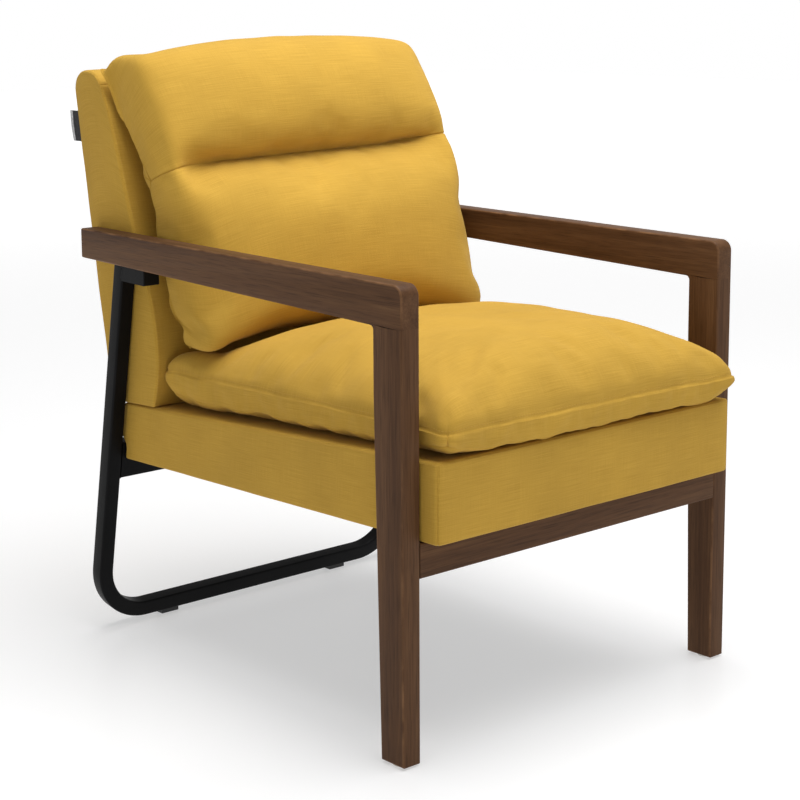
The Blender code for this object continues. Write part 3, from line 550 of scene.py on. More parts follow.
def steel_bar():
    """The crossbar, with a rippled weld bead round each end."""
    low_up = (BAR_LOW - LOOP_CLEARANCE) / math.cos(LEAN)
    reach = TUBE_X - 0.5 * TUBE - GAP
    section = tube_section(BAR_H, TUBE, TUBE_CORNER, 5)
    rings = [[in_loop(x, low_up + 0.5 * BAR_H + up, 0.5 * TUBE + depth) for up, depth in section]
             for x in (-reach, reach)]
    link("steel_bar", to_mesh("steel_bar", skin(rings), 50), STEEL, "frame", ("crossbar",))
    route = [(0.5 * BAR_H, -0.5 * TUBE + 0.002), (0.5 * BAR_H, 0.5 * TUBE - 0.002),
             (-0.5 * BAR_H, 0.5 * TUBE - 0.002), (-0.5 * BAR_H, -0.5 * TUBE + 0.002)]
    for tail, side in (("_l", -1.0), ("_r", 1.0)):
        for place, pair in (("top", route[:2]), ("rear", route[1:3]), ("low", route[2:])):
            ends = [in_loop(side * (reach - 0.0008), low_up + 0.5 * BAR_H + up, 0.5 * TUBE + depth)
                    for up, depth in pair]
            weld_bead(f"bar_weld_{place}{tail}", *ends)


WELD_PITCH = 0.0021


def weld_bead(name, start, end, radius=0.0026):
    """A fillet weld: a fat line swelling at each ripple."""
    span = end - start
    count = max(6, int(span.length / WELD_PITCH * 4))
    axis = span.normalized()
    side = axis.orthogonal().normalized()
    other = axis.cross(side)
    rings = []
    for i in range(count + 1):
        along = span.length * i / count
        close = min(1.0, 6.0 * min(i, count - i) / count + 0.3)
        r = radius * close * (0.86 + 0.14 * abs(math.sin(math.pi * along / WELD_PITCH)))
        rings.append([start + axis * along + (side * math.cos(a) + other * math.sin(a)) * r
                      for a in (2.0 * math.pi * k / 10 for k in range(10))])
    link(name, to_mesh(name, skin(rings), 60), STEEL, "frame", ())


def tab_welds():
    """Beads down both sides of each arm tab, where it meets its upright."""
    for tail, side in (("_l", -1.0), ("_r", 1.0)):
        low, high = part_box("arm_tab" + tail)
        for place, x in (("in", low.x if side > 0 else high.x), ("out", high.x if side > 0 else low.x)):
            inward = 0.0018 if place == "out" else -0.0018
            ends = []
            for z in (low.z + 0.003, high.z - 0.004):
                y = loop_front(z) - 0.0006
                ends.append(at(x - side * inward, y, z))
            weld_bead(f"tab_weld_{place}{tail}", *ends, radius=0.0022)


def socket_bolts():
    """Cap-head bolts with a hexagon socket, where a head shows."""
    for tail in ("_l", "_r"):
        for node in ("arm_bolt", "seat_bolt_front", "seat_bolt_rear"):
            mesh = NODES[node + tail].data
            co = np.array([v.co for v in mesh.vertices])
            centre = Vector(co.mean(0))
            if node == "seat_bolt_rear":
                axis = Vector((0.0, -math.cos(LEAN), -math.sin(LEAN)))
            else:
                axis = Vector((0.0, 0.0, 1.0))
            reach = (co - np.array(centre)) @ np.array(axis)
            ring = co - np.outer(reach, np.array(axis)) - np.array(centre)
            wide = np.linalg.norm(ring, axis=1)
            middle = Vector((ring[wide > 0.9 * wide.max()].mean(0)))
            start = centre + middle + axis * float(reach.min())
            head_bolt(node + tail + "_detail", start, axis, float(wide.max()),
                      float(reach.max() - reach.min()), node + tail)


def head_bolt(name, start, axis, head_r, length, node):
    head_h, shank_r, hex_r, hex_deep = 0.0026, 0.0029, 0.0026, 0.0019
    turn = Vector((0.0, 0.0, 1.0)).rotation_difference(axis).to_matrix()
    count = 36

    def ring(radius, along, hexed=False):
        points = []
        for i in range(count):
            a = 2.0 * math.pi * i / count
            r = radius
            if hexed:
                r = radius * math.cos(math.pi / 6) / math.cos((a % (math.pi / 3)) - math.pi / 6)
            points.append(start + turn @ Vector((r * math.cos(a), r * math.sin(a), along)))
        return points

    rings = [ring(0.0002, hex_deep), ring(0.9 * hex_r, hex_deep, True), ring(hex_r, hex_deep - 0.0002, True),
             ring(hex_r, 0.0002, True), ring(1.12 * hex_r, 0.0, True), ring(head_r - 0.0008, 0.0),
             ring(head_r - 0.0002, 0.0003), ring(head_r, 0.0009), ring(head_r, head_h),
             ring(shank_r, head_h), ring(shank_r, length - 0.001), ring(shank_r - 0.0008, length),
             ring(0.0002, length)]
    link(name, to_mesh(name, skin(rings), 30), ZINC, "frame", (node,))


# ---------- sewn covers ----------

SEAM_STEPS = (0.0013, 0.0040, 0.0095)


def shares(length, pitch):
    """Grid positions along a panel, crowded beside the seams at both ends."""
    middle = length - 2 * SEAM_STEPS[-1]
    inner = [SEAM_STEPS[-1] + middle * i / max(2, round(middle / pitch))
             for i in range(max(2, round(middle / pitch)) + 1)]
    steps = [0.0, *SEAM_STEPS[:-1], *inner, *[length - s for s in reversed(SEAM_STEPS[:-1])], length]
    return np.array(steps) / length


class Cover:
    """Panels sewn edge to edge. Each face knows its panel and its flat cloth coordinates."""

    def __init__(self):
        self.bm = bmesh.new()
        self.uv = self.bm.loops.layers.uv.new(CLOTH_UV)
        self.panel_id = self.bm.faces.layers.int.new("panel")
        self.count = 0

    def panel(self, grid):
        """Adds a grid of points, rows by columns, as one cut piece of cloth."""
        grid = np.asarray(grid, float)
        self.count += 1
        flat_v = np.concatenate([[0.0], np.cumsum(np.linalg.norm(np.diff(grid, axis=0), axis=2).mean(1))])
        flat_u = np.concatenate([[0.0], np.cumsum(np.linalg.norm(np.diff(grid, axis=1), axis=2).mean(0))])
        shift = 0.37 * self.count
        verts = [[self.bm.verts.new(p) for p in row] for row in grid]
        for j in range(len(grid) - 1):
            for i in range(len(grid[0]) - 1):
                corners = ((j, i), (j, i + 1), (j + 1, i + 1), (j + 1, i))
                face = self.bm.faces.new([verts[a][b] for a, b in corners])
                face[self.panel_id] = self.count
                for loop, (a, b) in zip(face.loops, corners):
                    loop[self.uv].uv = (flat_u[b] + shift, flat_v[a] + shift)

    def sew(self):
        """Joins the panels' shared edges."""
        bmesh.ops.remove_doubles(self.bm, verts=self.bm.verts, dist=2e-5)
        bmesh.ops.recalc_face_normals(self.bm, faces=self.bm.faces)
        self.bm.verts.index_update()

    def seam_edges(self, between=None):
        """Edges where two panels meet, or where two given panels meet."""
        found = []
        for edge in self.bm.edges:
            ids = {f[self.panel_id] for f in edge.link_faces}
            if len(ids) == 2 and (between is None or ids == set(between)):
                found.append(edge)
        return found

    def groove(self, depth, lip=0.0):
        """Pulls the seams in between slightly raised lips, so that the panels roll into them."""
        self.bm.normal_update()
        sewn = {v for e in self.seam_edges() for v in e.verts}
        beside = {e.other_vert(v) for v in sewn for e in v.link_edges} - sewn
        moves = [(v, v.normal * -depth) for v in sewn] + [(v, v.normal * lip) for v in beside]
        for vert, move in moves:
            vert.co += move


def coons(south, north, west, east, s, t):
    """A patch between four curves: south and north at shares s, west and east at shares t."""
    return patch(at_lengths(south, s), at_lengths(north, s), at_lengths(west, t), at_lengths(east, t), s, t)


def patch(south, north, west, east, s, t):
    """The same between curves that are already sampled."""
    u, v = s[None, :, None], t[:, None, None]
    ruled_v = (1 - v) * south[None] + v * north[None]
    ruled_u = (1 - u) * west[:, None] + u * east[:, None]
    corners = ((1 - u) * (1 - v) * south[0] + u * (1 - v) * south[-1]
               + (1 - u) * v * north[0] + u * v * north[-1])
    return ruled_v + ruled_u - corners


def flat_panel(a, b, c, d, s, t):
    """A flat four-cornered patch: a to b along s, a to d along t."""
    return coons([a, b], [d, c], [a, d], [b, c], s, t)


def plump(grid, height, s, t):
    """Bulges a patch outwards along its own normals, nothing at its edges."""
    du = np.gradient(grid, axis=1)
    dv = np.gradient(grid, axis=0)
    normal = np.cross(du, dv)
    normal /= np.linalg.norm(normal, axis=2, keepdims=True) + 1e-12
    rise = (16.0 * s * (1 - s) * (t * (1 - t))[:, None]) ** 0.5
    return grid + normal * (height * rise)[..., None]


def ripple(bm, amount, scale, seed):
    """Slight unevenness of padded cloth, moved along the normals."""
    bm.normal_update()
    shift = Vector((7.3 * seed, 1.9 * seed, 4.1 * seed))
    for vert in bm.verts:
        p = vert.co
        wave = noise.noise(Vector((p.x * scale[0], p.y * scale[1], p.z * scale[2])) + shift)
        wave += 0.5 * noise.noise(Vector((p.x * scale[0], p.y * scale[1], p.z * scale[2])) * 2.7 + shift)
        vert.co += vert.normal * (amount * wave)


def pucker(cover, edges, amount, reach, pitch, seed):
    """Gathers beside seams: small ridges across the seam, fading with distance from it."""
    points = []
    for edge in edges:
        a, b = (v.co for v in edge.verts)
        steps = max(1, round((b - a).length / 0.003))
        points += [a.lerp(b, k / steps) for k in range(steps)]
    tree = KDTree(len(points))
    for i, point in enumerate(points):
        tree.insert(point, i)
    tree.balance()
    cover.bm.normal_update()
    shift = Vector((seed, 2.0 * seed, 3.0 * seed))
    moves = []
    for vert in cover.bm.verts:
        near, _, distance = tree.find(vert.co)
        share = distance / reach
        fade = 2.7 * share * math.exp(-share) if share < 6.0 else 0.0
        wave = noise.noise(near / pitch + shift) + 0.6 * noise.noise(near / (2.6 * pitch) - shift)
        moves.append(vert.normal * (amount * fade * wave))
    for vert, move in zip(cover.bm.verts, moves):
        vert.co += move


def dress(name, cover, body, nodes):
    """The sewn cover as a padded piece with one level of subdivision."""
    mesh = to_mesh(name, cover.bm)
    obj = link(name, mesh, FABRIC, body, nodes)
    smooth = obj.modifiers.new("surface", "SUBSURF")
    smooth.levels = smooth.render_levels = 1
    return obj


STITCH_PITCH, STITCH_LENGTH, STITCH_R = 0.0046, 0.0031, 0.00042
# (share of the length, height and thickness in radii) along one stitch
STITCH_RINGS = ((-0.5, -0.5, 0.35), (-0.3, 0.25, 1.0), (0.3, 0.25, 1.0), (0.5, -0.5, 0.35))


def stitches(name, target, lines, body):
    """Sewn thread on a cover: short raised stitches along each line, sunk at both ends."""
    tree = BVHTree.FromObject(target, bpy.context.evaluated_depsgraph_get())
    bm = bmesh.new()
    for line in lines:
        line = np.asarray(line, float)
        total = np.linalg.norm(np.diff(line, axis=0), axis=1).sum()
        count = int(total / STITCH_PITCH)
        for i in range(count):
            middle = (i + 0.5) / count
            half = 0.5 * STITCH_LENGTH / total
            here = at_lengths(line, np.array([middle - half, middle, middle + half]))
            found = [tree.find_nearest(Vector(p)) for p in here]
            if any(f[0] is None for f in found):
                continue
            (a, _, _, _), (m, normal, _, _), (b, _, _, _) = found
            axis = b - a
            if axis.length < 0.3 * STITCH_LENGTH:
                continue
            side = axis.normalized().cross(normal).normalized()
            rings = []
            for share, lift, size in STITCH_RINGS:
                centre = m + axis * share + normal * (STITCH_R * lift)
                rings.append([centre + (side * math.cos(k) + normal * math.sin(k)) * STITCH_R * size
                              for k in (math.pi / 3 * q for q in range(6))])
            skin(rings, bm)
    return link(name, to_mesh(name, bm), THREAD_LOOK, body, ())


SWELL_FRAMES = 18
CLOTH_STIFFNESS = 14.0


def inflate(cover, pressure, grow, hold, cap):
    """Swells a sewn cover as cloth under pressure. hold and cap map a vertex to its pin and its travel."""
    mesh = bpy.data.meshes.new("swelling")
    cover.bm.to_mesh(mesh)
    obj = bpy.data.objects.new("swelling", mesh)
    bpy.context.scene.collection.objects.link(obj)
    pins = obj.vertex_groups.new(name="pins")
    seams = obj.vertex_groups.new(name="seams")
    seam_verts = {v.index for e in cover.seam_edges() for v in e.verts}
    start = np.array([v.co for v in mesh.vertices], float)
    for vert in cover.bm.verts:
        pins.add([vert.index], hold(vert), "REPLACE")
        seams.add([vert.index], 1.0 if vert.index in seam_verts else 0.0, "REPLACE")
    mod = obj.modifiers.new("cloth", "CLOTH")
    settings = mod.settings
    settings.quality = 6
    settings.mass = 0.3
    settings.tension_stiffness = CLOTH_STIFFNESS
    settings.compression_stiffness = CLOTH_STIFFNESS
    settings.shear_stiffness = 0.5 * CLOTH_STIFFNESS
    settings.bending_stiffness = 0.6
    settings.use_pressure = True
    settings.uniform_pressure_force = pressure
    settings.vertex_group_mass = "pins"
    settings.pin_stiffness = 1.5
    settings.vertex_group_shrink = "seams"
    settings.shrink_min = -grow
    settings.shrink_max = 0.0
    settings.effector_weights.gravity = 0.0
    mod.collision_settings.use_collision = False
    mod.point_cache.frame_start = 1
    mod.point_cache.frame_end = SWELL_FRAMES
    for number in range(1, SWELL_FRAMES + 1):
        bpy.context.scene.frame_set(number)
    swollen = obj.evaluated_get(bpy.context.evaluated_depsgraph_get()).to_mesh()
    end = np.array([v.co for v in swollen.vertices], float)
    bpy.context.scene.frame_set(1)
    bpy.data.objects.remove(obj)
    travel = end - start
    reach = np.linalg.norm(travel, axis=1)
    limit = np.array([cap(v) for v in cover.bm.verts])
    share = np.where(reach > 1e-9, limit * np.tanh(reach / limit) / np.maximum(reach, 1e-9), 1.0)
    for vert, move, keep in zip(cover.bm.verts, travel, share):
        vert.co += Vector(move * keep)


# ---------- seat box ----------

REAR_SWELL = 0.020
BOX_EDGE_R, BOX_UPRIGHT_R = 0.0040, 0.0065
# width of the cloth turned under the box
TURN_IN = 0.030


def box_rear(height):
    """The rear end of a line of the box, against the leaning tube: its station and its height."""
    y = loop_front(BOX_UNDER_FRONT)
    for _ in range(8):
        y = loop_front(height(y)) - 2 * GAP
    return (y, height(y))


def soften(vert, radius, low_rear, top_rear):
    """Rounds the box's corners and edges: a point near one moves onto a ball of the given radius."""
    x, y, z = vert.co.x, vert.co.y - FRONT_Y, vert.co.z
    share = (z - box_under(y)) / (box_top(y) - box_under(y))
    rear = low_rear + (top_rear - low_rear) * share
    over = Vector((max(abs(x) - (BOX_HALF - radius), 0.0),
                   max(BOX_FRONT + radius - y, 0.0) or max(y - (rear - radius), 0.0),
                   max(z - (box_top(y) - radius), 0.0) or max(box_under(y) + radius - z, 0.0)))
    if sum(c > 1e-6 for c in over) < 2:
        return
    back = over - over * (max(over) / over.length)
    vert.co.x -= math.copysign(back.x, x)
    vert.co.y += back.y if y < BOX_FRONT + radius else -back.y
    vert.co.z += -back.z if share > 0.5 else back.z


def round_upright(vert, radius):
    """Rounds the box's front upright corners in plan."""
    over = Vector((abs(vert.co.x) - (BOX_HALF - radius), BOX_FRONT + radius - (vert.co.y - FRONT_Y)))
    if min(over) > 0.0:
        back = over * (1.0 - max(over) / over.length)
        vert.co.x -= math.copysign(back.x, vert.co.x)
        vert.co.y += back.y


def between_uprights(vert, low_rear):
    """How far the box's rear swells between the uprights, above the crossbar."""
    above = min(1.0, max(0.0, (vert.co.z - BAR_LOW - BAR_H - 0.001) / 0.008))
    near = min(1.0, max(0.0, (vert.co.y - FRONT_Y - low_rear + 0.035) / 0.025))
    return REAR_SWELL * above * near


def seat_box():
    """The upholstered box: taut panels over boards and foam, turned under at its lower edge."""
    top_rear, low_rear = box_rear(box_top), box_rear(box_under)
    ends = {"tf": (BOX_FRONT, BOX_TOP_FRONT), "tr": top_rear,
            "lf": (BOX_FRONT, BOX_UNDER_FRONT), "lr": low_rear}
    sx = shares(2 * BOX_HALF, 0.014)
    sy = shares(top_rear[0] - BOX_FRONT, 0.014)
    sz = shares(BOX_TOP_FRONT - BOX_UNDER_FRONT, 0.012)

    def lower_line(x):
        """The bottom edge from front to rear, nearly straight."""
        return [at(x, *ends["lf"]), at(x, BOX_UNDER_BREAK, BOX_UNDER_FRONT), at(x, *ends["lr"])]

    left = {k: at(-BOX_HALF, *p) for k, p in ends.items()}
    right = {k: at(BOX_HALF, *p) for k, p in ends.items()}
    cover = Cover()
    cover.panel(plump(flat_panel(left["tf"], right["tf"], right["tr"], left["tr"], sx, sy), 0.0003, sx, sy))
    cover.panel(plump(flat_panel(left["lf"], right["lf"], right["tf"], left["tf"], sx, sz), 0.0028, sx, sz))
    cover.panel(plump(flat_panel(right["lr"], left["lr"], left["tr"], right["tr"], sx, sz), 0.0001, sx, sz))
    for corner, bulge in ((left, -0.0012), (right, 0.0012)):
        side = coons(lower_line(corner["lf"].x), [corner["tf"], corner["tr"]],
                     [corner["lf"], corner["tf"]], [corner["lr"], corner["tr"]], sy, sz)
        cover.panel(plump(side, bulge, sy, sz))

    def hem_point(x, end, back):
        y = ends[end][0] + back
        return at(x - math.copysign(TURN_IN, x), y, box_under(y) + 0.0004)

    rim = np.array([0.0, 0.05, 0.15, 0.4, 1.0])
    ring = [left["lf"], right["lf"], right["lr"], left["lr"]]
    hem = [hem_point(-BOX_HALF, "lf", TURN_IN), hem_point(BOX_HALF, "lf", TURN_IN),
           hem_point(BOX_HALF, "lr", -TURN_IN), hem_point(-BOX_HALF, "lr", -TURN_IN)]
    edges = [(ring[:2], sx), (lower_line(BOX_HALF), sy),
             (ring[2:], sx), (lower_line(-BOX_HALF)[::-1], 1.0 - sy[::-1])]
    for k, (outer, steps) in enumerate(edges):
        a, b, c, d = ring[k], ring[(k + 1) % 4], hem[(k + 1) % 4], hem[k]
        cover.panel(coons(outer, [d, c], [a, d], [b, c], steps, rim))
    cover.sew()
    for vert in cover.bm.verts:
        soften(vert, BOX_EDGE_R, low_rear[0], top_rear[0])
        round_upright(vert, BOX_UPRIGHT_R)
        vert.co.y += between_uprights(vert, low_rear[0])
    ripple(cover.bm, 0.0005, (9.0, 9.0, 14.0), 1)
    cover.groove(0.0007)
    lines = seam_lines(cover, ((2, 1), (4, 1), (5, 1)), 0.0050)
    obj = dress("seat_box_cover", cover, "frame", ("seat_cover",))
    stitches("seat_box_stitching", obj, lines, "frame")


def seat_underside():
    """Black dust cloth, a little slack, and its row of staples."""
    low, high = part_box("seat_dust_cloth")
    half, front, rear = high.x - 0.008, low.y - FRONT_Y + 0.010, high.y - FRONT_Y - 0.012
    count_x, count_y = 40, 46
    bm = bmesh.new()
    uv = bm.loops.layers.uv.new(CLOTH_UV)
    grid = []
    for j in range(count_y + 1):
        row = []
        for i in range(count_x + 1):
            u, v = 2.0 * i / count_x - 1.0, 2.0 * j / count_y - 1.0
            x, y = u * half, front + (rear - front) * (v + 1.0) / 2.0
            slack = (1.0 - u ** 4) * (1.0 - v ** 4)
            sag = 0.0035 * slack + 0.0012 * slack * noise.noise(Vector((x * 14, y * 9, 3.0)))
            row.append(bm.verts.new(at(x, y, box_under(y) - 0.0009 - sag)))
        grid.append(row)
    for j in range(count_y):
        for i in range(count_x):
            face = bm.faces.new((grid[j][i], grid[j + 1][i], grid[j + 1][i + 1], grid[j][i + 1]))
            for loop in face.loops:
                loop[uv].uv = (loop.vert.co.x, loop.vert.co.y)
    mesh = to_mesh("dust_cloth_sheet", bm)
    cloth = link("dust_cloth_sheet", mesh, BLACK_CLOTH, "frame", ("seat_dust_cloth",))
    solid = cloth.modifiers.new("thick", "SOLIDIFY")
    solid.thickness = 0.0005
    staples = bmesh.new()
    inset, pitch, crown, wire = 0.006, 0.045, 0.010, 0.0006
    spots = []
    for x_run in np.arange(-half + 0.02, half - 0.01, pitch):
        spots += [(x_run, front + inset, (1, 0)), (x_run, rear - inset, (1, 0))]
    for y_run in np.arange(front + 0.02, rear - 0.01, pitch):
        spots += [(-half + inset, y_run, (0, 1)), (half - inset, y_run, (0, 1))]
    for x, y, (dx, dy) in spots:
        z = box_under(y) - 0.0012
        size = Vector((crown if dx else wire, crown if dy else wire, wire))
        made = bmesh.ops.create_cube(staples, size=1.0)
        bmesh.ops.scale(staples, vec=size, verts=made["verts"])
        bmesh.ops.translate(staples, vec=at(x, y, z), verts=made["verts"])
    bmesh.ops.bevel(staples, geom=list(staples.edges), offset=0.00015, segments=1, affect="EDGES")
    link("dust_cloth_staples", to_mesh("dust_cloth_staples", staples), ZINC, "frame", ())


# ---------- back ----------

BACK_FRONT = ((0.5545, 0.400), (0.5540, 0.445), (0.5660, 0.510), (0.6054, 0.6128), (0.6545, 0.7542),
              (0.6800, 0.8080))
BACK_CROWN = ((0.6800, 0.8080), (0.6925, 0.8225), (0.7110, 0.8275), (0.7300, 0.8260), (0.7430, 0.8160),
              (0.7455, 0.798))


def back_slab():
    """The upholstered back: side panels seamed all round to one panel that runs over the crown."""
    foot_front, foot_rear = ((y, back_foot(y)) for y in BACK_FOOT)
    front = smooth_line([foot_front, *BACK_FRONT], 60)
    crown = smooth_line(BACK_CROWN, 24)
    rear = [foot_rear, BACK_REAR_TOP]
    height = BACK_REAR_TOP[1] - foot_rear[1]
    sx, sv, sk = shares(2 * BACK_HALF, 0.014), shares(height, 0.014), shares(0.085, 0.010)
    cover = Cover()

    def lift(line, x):
        return [at(x, y, z) for y, z in line]

    def across(line, start_x, steps, bulge):
        """Adds the panel that a line of the side view sweeps from one side to the other."""
        west, east = lift(line, start_x), lift(line, -start_x)
        grid = coons([west[0], east[0]], [west[-1], east[-1]], west, east, sx, steps)
        cover.panel(plump(grid, bulge, sx, steps))

    across(front, -BACK_HALF, sv, 0.0018)
    across(crown, -BACK_HALF, sk, 0.0015)
    across(rear, BACK_HALF, sv, 0.0018)
    across([foot_front, foot_rear], BACK_HALF, sk, 0.0)
    for x, bulge in ((-BACK_HALF, -0.0035), (BACK_HALF, 0.0035)):
        side = coons(lift((foot_front, foot_rear), x), lift(crown, x), lift(front, x), lift(rear, x), sk, sv)
        cover.panel(plump(side, bulge, sk, sv))
    cover.sew()
    ripple(cover.bm, 0.0009, (7.0, 9.0, 9.0), 2)
    pucker(cover, cover.seam_edges(), 0.0004, 0.006, 0.020, 4.0)
    cover.groove(0.0019)
    lines = seam_lines(cover, ((3, 5), (3, 6), (1, 5), (1, 6)), 0.0055)
    obj = dress("back_slab_cover", cover, "frame", ("back_cover", "back_base_cloth"))
    stitches("back_slab_stitching", obj, lines, "frame")
    return obj


def blank_label():
    """A folded tape caught in the side seam: a dark blank face and a paler folded edge."""
    low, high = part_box("back_label")
    x, out, thick, fold = -BACK_HALF + 0.0016, 0.0245, 0.0011, 0.0070
    steps = [0.0, 0.25, 0.5, (out - fold - 0.0004) / out, (out - fold) / out, 0.85, 0.97]
    bm = bmesh.new()
    rows = []
    for j in range(17):
        z = low.z + (high.z - low.z) * j / 16
        base = back_rear(z) - 0.001
        near = []
        for k in steps:
            bow = 0.0012 * math.sin(math.pi * j / 16) * k
            pad = 0.0 if k < steps[4] else 0.00035
            near.append((x - bow - pad, x + thick - bow + pad, base + out * k))
        ring = [at(a, y, z) for a, _, y in near]
        ring.append(at(x + 0.5 * thick - 0.0006, base + out, z))
        ring += [at(b, y, z) for _, b, y in reversed(near)]
        rows.append([bm.verts.new(p) for p in ring])
    count = len(rows[0])
    for a, b in zip(rows, rows[1:]):
        for i in range(count):
            k = (i + 1) % count
            face = bm.faces.new((a[i], a[k], b[k], b[i]))
            face.material_index = 0 if 4 <= i < count - 5 else 1
    bm.faces.new(rows[0])
    bm.faces.new(rows[-1])
    mesh = to_mesh("blank_tape_tab", bm, 50)
    link("blank_tape_tab", mesh, TAPE, "frame", ("back_label",))
    mesh.materials.append(TAPE_DARK)


# ---------- seat cushion ----------

# heights of the top and lower seams above the box, round the rim
SEAM_TOP = {"front": 0.034, "side_front": 0.0335, "side_rear": 0.056, "rear": 0.044}
SEAM_LOW = {"front": 0.0050, "side": 0.0145, "rear": 0.0200}
# the crown's height over the seams, how squarely it falls off, and how far forward it peaks
CUSHION_CROWN, CROWN_ACROSS, CROWN_ALONG, CROWN_FORWARD = 0.077, 3.3, 4.5, 0.459
REAR_CORNER_RISE, CORNER_SPREAD = 0.040, (0.17, 0.20)
PILLOW_DENT = 0.014
DENT_AT, DENT_SPREAD = (0.70, 0.74), (0.20, 0.22)
CUSHION_CORNER_R = 0.018
CUSHION_CLEAR = 0.0010
# a point lower than this above the box lies on it
LYING = 0.0016
CUSHION_SKEW = 0.005
BOXING_BOW = 0.0034


def cushion_plan(u, v, inset=0.0):
    """Plan position: sides pulled in a little between rounded corners."""
    front, rear = CUSHION_FRONT - 0.005, CUSHION_REAR + 0.002
    middle, reach = 0.5 * (front + rear), 0.5 * (rear - front)
    pull_x = 0.0035 * (1.0 - v * v) * abs(u) ** 3
    pull_y = 0.0030 * (1.0 - u * u) * abs(v) ** 3
    half, reach = CUSHION_HALF + 0.002 - inset, reach - inset
    x, y = u * (half - pull_x), v * (reach - pull_y)
    over_x, over_y = abs(x) - (half - CUSHION_CORNER_R), abs(y) - (reach - CUSHION_CORNER_R)
    if over_x > 0.0 and over_y > 0.0:
        share = 1.0 - max(over_x, over_y) / math.hypot(over_x, over_y)
        x -= math.copysign(over_x * share, x)
        y -= math.copysign(over_y * share, y)
    return x, middle + y - CUSHION_SKEW * u


def border_height(u, v, table, wave):
    """Height of a seam above the box: the table's values blended round the rim, a little uneven."""
    ends = (v + 1.0) / 2.0
    if "side" in table:
        side = table["side"]
    else:
        side = table["side_front"] + (table["side_rear"] - table["side_front"]) * ends
    end = table["front"] if v < 0 else table["rear"]
    end = end + (side - end) * abs(u) ** 8
    high = side + (end - side) * abs(v) ** 10
    return high + wave * noise.noise(Vector((5.0 * u, 5.5 * v, 40.0 * wave)))


